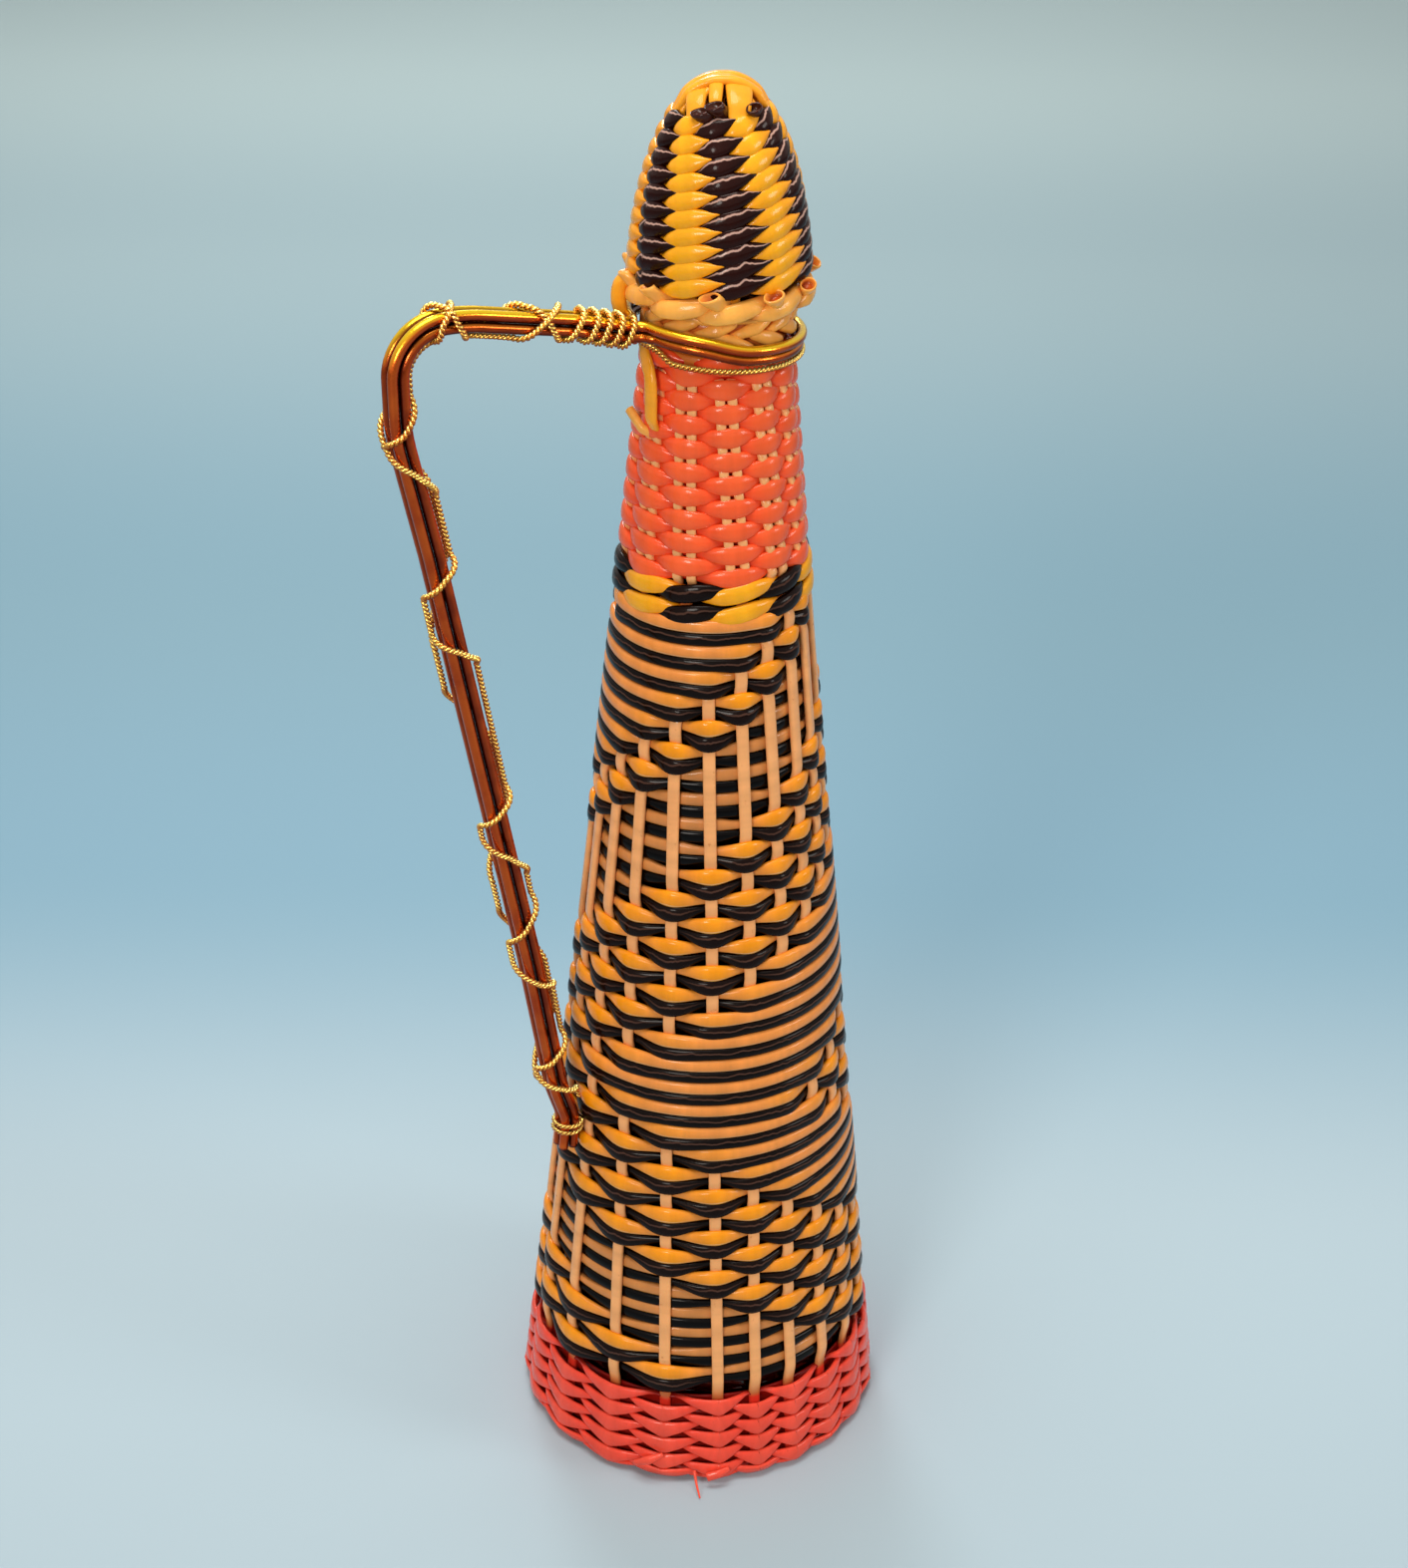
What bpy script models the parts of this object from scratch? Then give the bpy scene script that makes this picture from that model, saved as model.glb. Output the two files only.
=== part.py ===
# Woven plastic bottle: a conical glass bottle in a hand-woven cover of plastic
# tube, with a bent wire handle, a woven cap on a tether and a cork stopper.
# Metres, +Z up, origin at the middle of the underside, handle towards -X.

import bpy
import math
from mathutils import Vector

# Cover, outside of the weave
BASE_RADIUS = 0.0441
NECK_RADIUS = 0.0168
BASE_CORNER_RADIUS = 0.0080
BASE_BAND_TOP = 0.0255
TWINE_BAND_BOTTOM = 0.2213
TWINE_BAND_TOP = 0.2318
NECK_WEAVE_TOP = 0.2738
WEAVER_THICKNESS = 0.0020
RIB_DEPTH = 0.0008
BODY_ROW_COUNT = 34
UPPER_ROW_COUNT = 17
TOP_ROW_SHARE = 0.35
BOTTOM_ROW_SHARE = 0.70
ROW_CROWD_SHARE = 0.015
ROW_CROWD_EXPONENT = 1.6
BASE_ROW_COUNT = 4
TWINE_ROW_COUNT = 2
NECK_ROW_COUNT = 16
BORDER_DEPTH = 0.0027
BORDER_ROUND_SHARE = 0.33
BASE_MAT_BEVEL_SHARE = 0.25

# Pattern of the body weave: over (O) or under (U) a stake along the diagonals, which climb
# in the upper rows and fall in the lower ones. Two pairs of stakes behind share a number.
UPPER_DIAGONAL = "UOOOOOOOUOUUUUUOUOUO"
LOWER_DIAGONAL = "UOUOUOUUUUUOUOUOOOOO"
DIAGONAL_TURN_ROW = 20
STAKE_NUMBERS = (1, 2, 3, 4, 5, 6, 7, 8, 9, 10, 11, 12, 13, 13, 14, 15, 16, 17, 17, 18, 19, 20)
UNDER_STAKE_DEPTH = 0.0006
UNDER_DEPTH = 0.0010
DEEPEST_GROOVE = 0.0014

# Upright stakes
STAKE_COUNT = 22
STAKE_WIDTH = 0.0026
STAKE_THICKNESS = 0.0016
STAKE_FOOT = 0.0105
FIRST_STAKE_DEGREES = 187.9
NECK_PAIR_SHARE = 0.78
NECK_TURN_DEGREES = 5.0

# Glass
GLASS_WALL = 0.0030
GLASS_FLOOR = 0.0040
MOUTH_TOP = 0.2960
BORE_RADIUS = 0.0095
LIP_ROUND = 0.0008

# Cork
CORK_LENGTH = 0.0200
CORK_INSERTED = 0.0160
CORK_CHAMFER = 0.0008

# Cap
CAP_RIM_BOTTOM = 0.2880
CAP_RADIUS = 0.0193
CAP_HEIGHT = 0.0456
CAP_SHAPE_EXPONENT = 1.95
CAP_RIM_HEIGHT = 0.0052
CAP_RIM_INNER_RADIUS = 0.0150
CAP_RIM_ROUND_SHARE = 0.33
CAP_ROW_COUNT = 10
CAP_STAKE_COUNT = 12
CROWN_HEIGHT = 0.0068
CROWN_THICKNESS = 0.0036
CROWN_RING_SHARES = (0.0, 0.06, 0.25, 0.6, 1.0)

# Handle wires: two wires, each bent double round the neck
WIRE_DIAMETER = 0.0021
WIRE_GAP = 0.0004
RING_CLEARANCE = 0.00055
RING_OFFSET = 0.0010
RING_DROP = 0.00865
RING_SLOPE_SHARE = 0.07
RING_JOIN_RADIUS = 0.0060
RING_RAMP_DEGREES = 32.0
BAR_START_RISE = 0.00525
CORNER_REACH = 0.0822
CORNER_RISE = 0.0130
CORNER_BEND_RADIUS = 0.0150
LANDING_HEIGHT = 0.0947
LANDING_BEND_RADIUS = 0.0250
HANDLE_FOOT_DROP = 0.0107

# Twisted wire round the handle, the neck and the foot
LACE_DIAMETER = 0.0011
LACE_COLLAR_TURN_COUNT = 4
LACE_COLLAR_PITCH = 0.0026
LACE_OPEN_TURN_COUNT = 9
LACE_POINTS_PER_TURN = 9
LACE_START_REACH = 0.0272
LACE_END_RISE = 0.0083
FOOT_TIE_DROP = 0.0047

# Tether, a bent tube that the cap swings on
TETHER_DIAMETER = 0.0024
TETHER_DEGREES = 152.0
TETHER_HINGE_DROP = 0.0010
TETHER_LOOP_RISE = 0.0095
TETHER_LOOP_BULGE = 0.0003
TETHER_END_DROP = 0.02035
TETHER_END_DEGREES = 184.0
# Along the lower half: (share of its sideways sweep, share of its fall below the rings)
TETHER_FALL_SHARES = ((0.28, 0.10), (0.52, 0.32), (0.78, 0.58), (0.95, 0.82), (1.0, 1.0))
# Share of the sweep at the fold, beside the upper ring and beside the lower one
TETHER_RING_SHARES = (0.02, 0.05, 0.12)

# Clearances and facets
SEAT_GAP = 0.0003
CORK_GAP = 0.0003
MERGE = 0.00001
ROUND_STEPS = 33
LACE_RING_STEPS = 30
CAP_STEPS = 24
ARC_STEP_DEGREES = 14.0
RING_STEP_DEGREES = 11.0

# Turn of a flat tube about its own line that lays its width along the cover
STAKE_TILT_ANGLE = math.pi / 2

LAYER = WEAVER_THICKNESS + STAKE_THICKNESS + 2 * SEAT_GAP
STAKE_DEPTH = WEAVER_THICKNESS + SEAT_GAP + STAKE_THICKNESS / 2
FINISH_RADIUS = NECK_RADIUS - LAYER
BORDER_RADIUS = FINISH_RADIUS + SEAT_GAP + BORDER_DEPTH
WIRE_SPACING = WIRE_DIAMETER + WIRE_GAP
RING_HEIGHT = CAP_RIM_BOTTOM - RING_DROP
NECK_LACE_HEIGHT = (RING_HEIGHT - WIRE_SPACING / 2 - (WIRE_DIAMETER + LACE_DIAMETER) / 2
                    - SEAT_GAP)
BAR_START_HEIGHT = RING_HEIGHT + BAR_START_RISE
HANDLE_FOOT_HEIGHT = LANDING_HEIGHT - HANDLE_FOOT_DROP
LACE_RADIUS = (math.sqrt(2) * WIRE_SPACING / 2 + WIRE_DIAMETER / 2
               + SEAT_GAP + LACE_DIAMETER)


def cover_radius(z):
    # Straight cone from the floor to the top of the neck weave
    return BASE_RADIUS + (NECK_RADIUS - BASE_RADIUS) * z / NECK_WEAVE_TOP


def ring_seat_radius():
    # Outside of the neck at the lowest point of the wires that go round it
    low = NECK_LACE_HEIGHT - LACE_DIAMETER / 2 - RING_SLOPE_SHARE * BORDER_RADIUS
    if low > NECK_WEAVE_TOP + SEAT_GAP:
        return BORDER_RADIUS
    return max(BORDER_RADIUS, cover_radius(low))


def ring_radius():
    return ring_seat_radius() + RING_OFFSET + WIRE_DIAMETER / 2 + RING_CLEARANCE


def cap_radius(height, inset=0.0):
    # Pointed dome: radius against height above the rim's underside
    share = min(max(height / (CAP_HEIGHT - inset), 0.0), 1.0)
    return (CAP_RADIUS - inset) * math.sqrt(1.0 - share ** CAP_SHAPE_EXPONENT)


def clear_scene():
    for item in list(bpy.data.objects):
        bpy.data.objects.remove(item, do_unlink=True)


def make_material(name, colour, roughness, metallic=0.0, transmission=0.0):
    material = bpy.data.materials.new(name)
    material.use_nodes = True
    shader = material.node_tree.nodes["Principled BSDF"]
    shader.inputs["Base Color"].default_value = (*colour, 1.0)
    shader.inputs["Roughness"].default_value = roughness
    shader.inputs["Metallic"].default_value = metallic
    shader.inputs["Transmission Weight"].default_value = transmission
    material.diffuse_color = (*colour, 1.0)
    return material


def make_collection(name):
    collection = bpy.data.collections.new(name)
    bpy.context.scene.collection.children.link(collection)
    return collection


def turned(name, profile, steps, material, parts, closed):
    # Profile points (radius, height) go round the section, down its outer side.
    # A corner of the turned shape stands on the first stake's line.
    mesh = bpy.data.meshes.new(name)
    count = len(profile)
    edges = [(i, i + 1) for i in range(count - 1)]
    if closed:
        edges.append((count - 1, 0))
    mesh.from_pydata([(r, 0.0, z) for r, z in profile], edges, [])
    mesh.materials.append(material)
    item = bpy.data.objects.new(name, mesh)
    parts.objects.link(item)
    screw = item.modifiers.new("turn", "SCREW")
    screw.axis = "Z"
    screw.angle = math.tau
    screw.steps = steps
    screw.render_steps = steps
    screw.use_merge_vertices = True
    screw.merge_threshold = MERGE
    screw.use_smooth_shade = True
    item.rotation_euler.z = math.radians(FIRST_STAKE_DEGREES)
    return item


def tube(name, points, radius, resolution, material, parts, cyclic=False, extrude=0.0):
    curve = bpy.data.curves.new(name, "CURVE")
    curve.dimensions = "3D"
    curve.bevel_depth = radius
    curve.bevel_resolution = resolution
    curve.extrude = extrude
    curve.use_fill_caps = not cyclic
    spline = curve.splines.new("POLY")
    spline.points.add(len(points) - 1)
    for slot, point in zip(spline.points, points):
        slot.co = (*point, 1.0)
    spline.use_cyclic_u = cyclic
    spline.use_smooth = True
    curve.materials.append(material)
    item = bpy.data.objects.new(name, curve)
    parts.objects.link(item)
    return item


def polar(radius, degrees, height):
    angle = math.radians(degrees)
    return Vector((radius * math.cos(angle), radius * math.sin(angle), height))


def ribbed_profile(low, high, rows):
    # Section of a band of the cover: one ridge for each woven row, a plain inner side
    points = [(cover_radius(low) - WEAVER_THICKNESS, low),
              (cover_radius(high) - WEAVER_THICKNESS, high)]
    pitch = (high - low) / rows
    for row in range(rows):
        edge = high - row * pitch
        middle = edge - pitch / 2
        points.append((cover_radius(edge) - RIB_DEPTH, edge))
        points.append((cover_radius(middle), middle))
    points.append((cover_radius(low) - RIB_DEPTH, low))
    return points


def row_heights(low, high):
    # Middles of the body's rows from the top down, a little closer together low down
    pitch = (high - low) / BODY_ROW_COUNT
    top = high - pitch * TOP_ROW_SHARE
    fall = top - low - pitch * BOTTOM_ROW_SHARE
    heights = []
    for row in range(BODY_ROW_COUNT):
        share = row / (BODY_ROW_COUNT - 1)
        share += ROW_CROWD_SHARE * math.sin(math.pi * share ** ROW_CROWD_EXPONENT)
        heights.append(top - fall * share)
    return heights


def passes_under(row, stake):
    number = STAKE_NUMBERS[stake % STAKE_COUNT]
    if row < DIAGONAL_TURN_ROW:
        return UPPER_DIAGONAL[(number + row + 1) % len(UPPER_DIAGONAL)] == "U"
    return LOWER_DIAGONAL[(row + 1 - number) % len(LOWER_DIAGONAL)] == "U"


def row_insets(row):
    # How far the row lies back, at each stake and half-way to the next one
    insets = []
    for stake in range(STAKE_COUNT):
        here = passes_under(row, stake)
        beyond = passes_under(row, stake + 1)
        insets.append(UNDER_STAKE_DEPTH if here else 0.0)
        insets.append(UNDER_DEPTH * (here + beyond) / 2)
    return insets


def woven_band(name, low, high, rows, heights, material, parts):
    # Shell with a rib for each row that stands out over stakes and lies back under them
    columns = 2 * STAKE_COUNT
    inside = [[cover_radius(level) - WEAVER_THICKNESS] * columns for level in (low, high)]
    rings = [(low, inside[0])]
    insets = [row_insets(row) for row in rows]
    levels = [heights[row] for row in rows]
    edges = [high] + [(a + b) / 2 for a, b in zip(levels, levels[1:])] + [low]
    for index in reversed(range(len(edges))):
        above = insets[max(index - 1, 0)]
        below = insets[min(index, len(insets) - 1)]
        rings.append((edges[index], [
            cover_radius(edges[index]) - min(max(a, b) + RIB_DEPTH, DEEPEST_GROOVE)
            for a, b in zip(above, below)]))
        if index > 0:
            level = levels[index - 1]
            rings.append((level, [cover_radius(level) - inset for inset in above]))
    rings.append((high, inside[1]))
    points = []
    for height, radii in rings:
        for column, radius in enumerate(radii):
            points.append(polar(radius, FIRST_STAKE_DEGREES + 360.0 * column / columns, height))
    faces = []
    for ring in range(len(rings)):
        start = ring * columns
        after = (ring + 1) % len(rings) * columns
        for column in range(columns):
            beside = (column + 1) % columns
            faces.append((start + column, start + beside, after + beside))
            faces.append((start + column, after + beside, after + column))
    mesh = bpy.data.meshes.new(name)
    mesh.from_pydata(points, [], faces)
    mesh.materials.append(material)
    item = bpy.data.objects.new(name, mesh)
    parts.objects.link(item)
    return item


def rounded_path(corners, radii):
    # Straight runs joined by arcs, in the handle's plane (reach, height)
    path = [Vector(corners[0])]
    for before, corner, after, radius in zip(corners, corners[1:], corners[2:], radii):
        here = Vector(corner)
        back = (Vector(before) - here).normalized()
        ahead = (Vector(after) - here).normalized()
        half = back.angle(ahead) / 2
        centre = here + (back + ahead).normalized() * radius / math.sin(half)
        start = here + back * radius / math.tan(half) - centre
        turn = start.angle_signed(here + ahead * radius / math.tan(half) - centre)
        steps = max(2, math.ceil(abs(math.degrees(turn)) / ARC_STEP_DEGREES))
        for step in range(steps + 1):
            angle = -turn * step / steps
            path.append(centre + Vector((
                start.x * math.cos(angle) - start.y * math.sin(angle),
                start.x * math.sin(angle) + start.y * math.cos(angle))))
    path.append(Vector(corners[-1]))
    return path


def path_normals(path):
    # Unit vectors square to the path, away from the bottle
    normals = []
    for index in range(len(path)):
        before = path[max(index - 1, 0)]
        after = path[min(index + 1, len(path) - 1)]
        along = (after - before).normalized()
        normals.append(Vector((along.y, -along.x)))
    return normals


def join_centre():
    # Centre of the small arc that carries a handle wire from bar to neck ring
    side = WIRE_SPACING / 2 + RING_JOIN_RADIUS
    reach = math.sqrt((ring_radius() + RING_JOIN_RADIUS) ** 2 - side ** 2)
    return -RING_OFFSET - reach, side


def handle_path():
    # Middle of the wire bundle, from the foot up the slope and along the bar
    seat = WIRE_SPACING / 2 + WIRE_DIAMETER / 2 + SEAT_GAP
    corners = [
        (cover_radius(HANDLE_FOOT_HEIGHT) + seat, HANDLE_FOOT_HEIGHT),
        (cover_radius(LANDING_HEIGHT) + seat, LANDING_HEIGHT),
        (CORNER_REACH, BAR_START_HEIGHT + CORNER_RISE),
        (-join_centre()[0], BAR_START_HEIGHT),
    ]
    return rounded_path(corners, (LANDING_BEND_RADIUS, CORNER_BEND_RADIUS))


def smooth_step(value):
    value = min(max(value, 0.0), 1.0)
    return value * value * (3 - 2 * value)


def neck_loop(offset, bar_end):
    # Half of the loop round the neck, on the +Y side, from the bar to the far side
    join_x, join_y = join_centre()
    radius = ring_radius()
    join_angle = math.atan2(join_y, join_x + RING_OFFSET)
    plan = []
    steps = math.ceil((join_angle - math.pi / 2) / math.radians(ARC_STEP_DEGREES))
    for step in range(1, steps + 1):
        angle = -math.pi / 2 + (join_angle - math.pi / 2) * step / steps
        plan.append(Vector((join_x + RING_JOIN_RADIUS * math.cos(angle),
                            join_y + RING_JOIN_RADIUS * math.sin(angle))))
    steps = math.ceil(join_angle / math.radians(RING_STEP_DEGREES))
    for step in range(1, steps + 1):
        angle = join_angle * (1 - step / steps)
        plan.append(Vector((radius * math.cos(angle) - RING_OFFSET,
                            radius * math.sin(angle))))
    ramp = (RING_JOIN_RADIUS * (join_angle - math.pi / 2)
            + radius * math.radians(RING_RAMP_DEGREES))
    points = []
    travelled = 0.0
    last = Vector((bar_end.x, bar_end.y))
    for spot in plan:
        travelled += (spot - last).length
        last = spot
        settled = smooth_step(travelled / ramp)
        level = RING_HEIGHT - RING_SLOPE_SHARE * spot.x + offset
        points.append(Vector((spot.x, spot.y, bar_end.z + (level - bar_end.z) * settled)))
    return points


def handle_wire(name, offset, material, parts):
    # One wire: foot, slope, bend, bar, once round the neck and back beside itself
    centre = handle_path()
    side = WIRE_SPACING / 2
    half = []
    for spot, normal in zip(centre, path_normals(centre)):
        shifted = spot + normal * offset
        half.append(Vector((-shifted.x, side, shifted.y)))
    half += neck_loop(offset, half[-1])
    mirrored = [Vector((p.x, -p.y, p.z)) for p in reversed(half[:-1])]
    return tube(name, half + mirrored, WIRE_DIAMETER / 2, 2, material, parts)


def run_lengths(path):
    lengths = [0.0]
    for before, after in zip(path, path[1:]):
        lengths.append(lengths[-1] + (after - before).length)
    return lengths


def point_at(path, lengths, distance):
    for index in range(1, len(path) - 1):
        if distance <= lengths[index]:
            break
    else:
        index = len(path) - 1
    run = lengths[index] - lengths[index - 1]
    return path[index - 1].lerp(path[index], (distance - lengths[index - 1]) / run)


def distance_at_height(path, lengths, height):
    for index in range(1, len(path)):
        if path[index].z < height:
            break
    drop = path[index - 1].z - path[index].z
    share = (path[index - 1].z - height) / drop
    return lengths[index - 1] + share * (lengths[index] - lengths[index - 1])


def lace_path():
    # Turns round the bundle: close together at the neck, then open down to the foot
    centre = [Vector((-p.x, 0.0, p.y)) for p in reversed(handle_path())]
    lengths = run_lengths(centre)
    start = (LACE_START_REACH + centre[0].x) * lengths[1] / (centre[0].x - centre[1].x)
    end = distance_at_height(centre, lengths, LANDING_HEIGHT + LACE_END_RISE)
    collar = LACE_COLLAR_TURN_COUNT * LACE_COLLAR_PITCH
    points = []
    for step in range((LACE_COLLAR_TURN_COUNT + LACE_OPEN_TURN_COUNT) * LACE_POINTS_PER_TURN + 1):
        turn = step / LACE_POINTS_PER_TURN
        distance = start + turn * LACE_COLLAR_PITCH
        if turn > LACE_COLLAR_TURN_COUNT:
            share = (turn - LACE_COLLAR_TURN_COUNT) / LACE_OPEN_TURN_COUNT
            distance = start + collar + share * (end - start - collar)
        spot = point_at(centre, lengths, distance)
        ahead = point_at(centre, lengths, distance + LACE_DIAMETER)
        behind = point_at(centre, lengths, distance - LACE_DIAMETER)
        along = (ahead - behind).normalized()
        outward = Vector((along.z, 0.0, -along.x))
        angle = turn * math.tau
        points.append(spot + LACE_RADIUS * (
            math.cos(angle) * outward - math.sin(angle) * Vector((0.0, 1.0, 0.0))))
    return points


def least_gap(points, diameter, neighbours):
    # Least clear distance between parts of one tube that are not next to each other
    least = math.inf
    for index, point in enumerate(points):
        for other in points[index + neighbours:]:
            least = min(least, (other - point).length)
    return least - diameter


def build_glass(material, parts):
    corner_height = BASE_CORNER_RADIUS
    corner_reach = cover_radius(corner_height) - BASE_CORNER_RADIUS
    glass_corner = BASE_CORNER_RADIUS - LAYER
    inner_floor = LAYER + GLASS_FLOOR
    bore_join = NECK_WEAVE_TOP
    inner = [
        (0.0, inner_floor),
        (corner_reach - glass_corner, inner_floor),
        (cover_radius(inner_floor + glass_corner) - LAYER - GLASS_WALL,
         inner_floor + glass_corner),
        (BORE_RADIUS, bore_join),
        (BORE_RADIUS, MOUTH_TOP - LIP_ROUND),
        (BORE_RADIUS + LIP_ROUND, MOUTH_TOP),
    ]
    outer = [
        (FINISH_RADIUS - LIP_ROUND, MOUTH_TOP),
        (FINISH_RADIUS, MOUTH_TOP - LIP_ROUND),
        (FINISH_RADIUS, bore_join),
    ]
    for degrees in (0, 30, 60, 90):
        angle = math.radians(degrees)
        outer.append((corner_reach + glass_corner * math.cos(angle),
                      corner_height - glass_corner * math.sin(angle)))
    outer.append((0.0, corner_height - glass_corner))
    return turned("glass_bottle", inner + outer, ROUND_STEPS, material, parts, False)


def build_base(material, parts):
    corner_height = BASE_CORNER_RADIUS
    corner_reach = cover_radius(corner_height) - BASE_CORNER_RADIUS
    profile = ribbed_profile(corner_height, BASE_BAND_TOP, BASE_ROW_COUNT)
    inner_arc = []
    outer_arc = []
    for degrees in (90, 60, 30):
        angle = math.radians(degrees)
        inside = BASE_CORNER_RADIUS - WEAVER_THICKNESS
        inner_arc.append((corner_reach + inside * math.cos(angle),
                          corner_height - inside * math.sin(angle)))
        outer_arc.append((corner_reach + BASE_CORNER_RADIUS * math.cos(angle),
                          corner_height - BASE_CORNER_RADIUS * math.sin(angle)))
    base = turned("base_weave", inner_arc + profile + outer_arc[::-1], STAKE_COUNT,
                  material, parts, True)
    mat_radius = corner_reach - SEAT_GAP
    mat_top = LAYER - SEAT_GAP
    bevel = mat_top * BASE_MAT_BEVEL_SHARE
    mat_profile = [(0.0, mat_top), (mat_radius - bevel, mat_top),
                   (mat_radius, mat_top - bevel), (mat_radius, 0.0), (0.0, 0.0)]
    mat = turned("base_mat", mat_profile, STAKE_COUNT, material, parts, False)
    return [base, mat]


def build_cover(materials, parts):
    body_bottom = BASE_BAND_TOP + SEAT_GAP
    body_top = TWINE_BAND_BOTTOM - SEAT_GAP
    heights = row_heights(body_bottom, body_top)
    middle = (heights[UPPER_ROW_COUNT - 1] + heights[UPPER_ROW_COUNT] + SEAT_GAP) / 2
    woven_band("body_weave_lower", body_bottom, middle - SEAT_GAP,
               range(UPPER_ROW_COUNT, BODY_ROW_COUNT), heights, materials["striped"], parts)
    woven_band("body_weave_upper", middle, body_top, range(UPPER_ROW_COUNT), heights,
               materials["striped"], parts)
    bands = (
        ("twined_band", TWINE_BAND_BOTTOM, TWINE_BAND_TOP, TWINE_ROW_COUNT, "yellow"),
        ("neck_weave", TWINE_BAND_TOP + SEAT_GAP, NECK_WEAVE_TOP, NECK_ROW_COUNT, "neck"),
    )
    for name, low, high, rows, finish in bands:
        profile = ribbed_profile(low, high, rows)
        turned(name, profile, STAKE_COUNT, materials[finish], parts, True)
    low = NECK_WEAVE_TOP + SEAT_GAP
    high = CAP_RIM_BOTTOM - SEAT_GAP
    inside = BORDER_RADIUS - BORDER_DEPTH
    round_edge = BORDER_DEPTH * BORDER_ROUND_SHARE
    border = [
        (inside, low), (inside, high), (BORDER_RADIUS - round_edge, high),
        (BORDER_RADIUS, high - round_edge), (BORDER_RADIUS - round_edge, (low + high) / 2),
        (BORDER_RADIUS, low + round_edge), (BORDER_RADIUS - round_edge, low),
    ]
    turned("neck_border", border, STAKE_COUNT, materials["cream"], parts, True)


def flat_stake(name, levels, degrees, material, parts):
    # Flattened tube; levels hold (radius, sideways turn, height) from foot to tip
    points = [polar(radius, turn, height) for radius, turn, height in levels]
    stake = tube(name, points, STAKE_THICKNESS / 2, 0, material, parts,
                 extrude=(STAKE_WIDTH - STAKE_THICKNESS) / 2)
    stake.data.twist_mode = "MINIMUM"
    for spot, level in zip(stake.data.splines[0].points, levels):
        spot.tilt = STAKE_TILT_ANGLE + math.radians(level[1])
    stake.rotation_euler.z = math.radians(degrees)
    return stake


def build_stakes(material, parts):
    step = 360.0 / STAKE_COUNT
    for index in range(STAKE_COUNT):
        lean = step / 2 * (1 - NECK_PAIR_SHARE) * (-1 if index % 2 == 0 else 1)
        neck_turn = NECK_TURN_DEGREES + lean
        levels = [(cover_radius(height) - STAKE_DEPTH, turn, height) for height, turn in (
            (STAKE_FOOT, 0.0), (TWINE_BAND_BOTTOM, 0.0), (TWINE_BAND_TOP, neck_turn),
            (NECK_WEAVE_TOP, neck_turn))]
        flat_stake(f"stake_{index + 1:02d}", levels, FIRST_STAKE_DEGREES + index * step,
                   material, parts)


def build_handle(gold, lace, parts):
    handle_wire("handle_wire_upper", WIRE_SPACING / 2, gold, parts)
    handle_wire("handle_wire_lower", -WIRE_SPACING / 2, gold, parts)
    turns = lace_path()
    tube("handle_lace", turns, LACE_DIAMETER / 2, 1, lace, parts)
    gap = least_gap(turns, LACE_DIAMETER, LACE_POINTS_PER_TURN - 2)
    print(f"handle_lace least gap to itself {gap * 1000:.2f} mm")
    radius = ring_seat_radius() + SEAT_GAP + LACE_DIAMETER / 2
    ring = []
    for step in range(LACE_RING_STEPS):
        spot = polar(radius, 360.0 * step / LACE_RING_STEPS, NECK_LACE_HEIGHT)
        ring.append(Vector((spot.x, spot.y, spot.z - RING_SLOPE_SHARE * spot.x)))
    tube("neck_lace", ring, LACE_DIAMETER / 2, 1, lace, parts, cyclic=True)
    build_foot_tie(lace, parts)


def build_foot_tie(lace, parts):
    # An arch of lace over the wire bundle, both ends on the weave
    bundle = WIRE_SPACING / 2 + WIRE_DIAMETER / 2
    side = bundle + SEAT_GAP + LACE_DIAMETER / 2
    height = LANDING_HEIGHT - FOOT_TIE_DROP
    surface = cover_radius(height)
    end_reach = math.sqrt(surface ** 2 - side ** 2) + SEAT_GAP + LACE_DIAMETER / 2
    top_reach = surface + SEAT_GAP + 2 * bundle + SEAT_GAP + LACE_DIAMETER / 2
    corner = LACE_DIAMETER
    plan = [
        (end_reach, side), (top_reach - corner, side), (top_reach, side - corner),
        (top_reach, 0.0), (top_reach, corner - side), (top_reach - corner, -side),
        (end_reach, -side),
    ]
    points = [Vector((-reach, across, height)) for reach, across in plan]
    tube("foot_tie", points, LACE_DIAMETER / 2, 1, lace, parts)


def hinge_point():
    # On the outer side of the tether tube, where it folds
    return polar(tether_reach() + TETHER_DIAMETER / 2 + SEAT_GAP / 2, TETHER_DEGREES,
                 CAP_RIM_BOTTOM - TETHER_HINGE_DROP)


def tether_reach():
    return CAP_RADIUS + SEAT_GAP + TETHER_DIAMETER / 2


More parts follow.
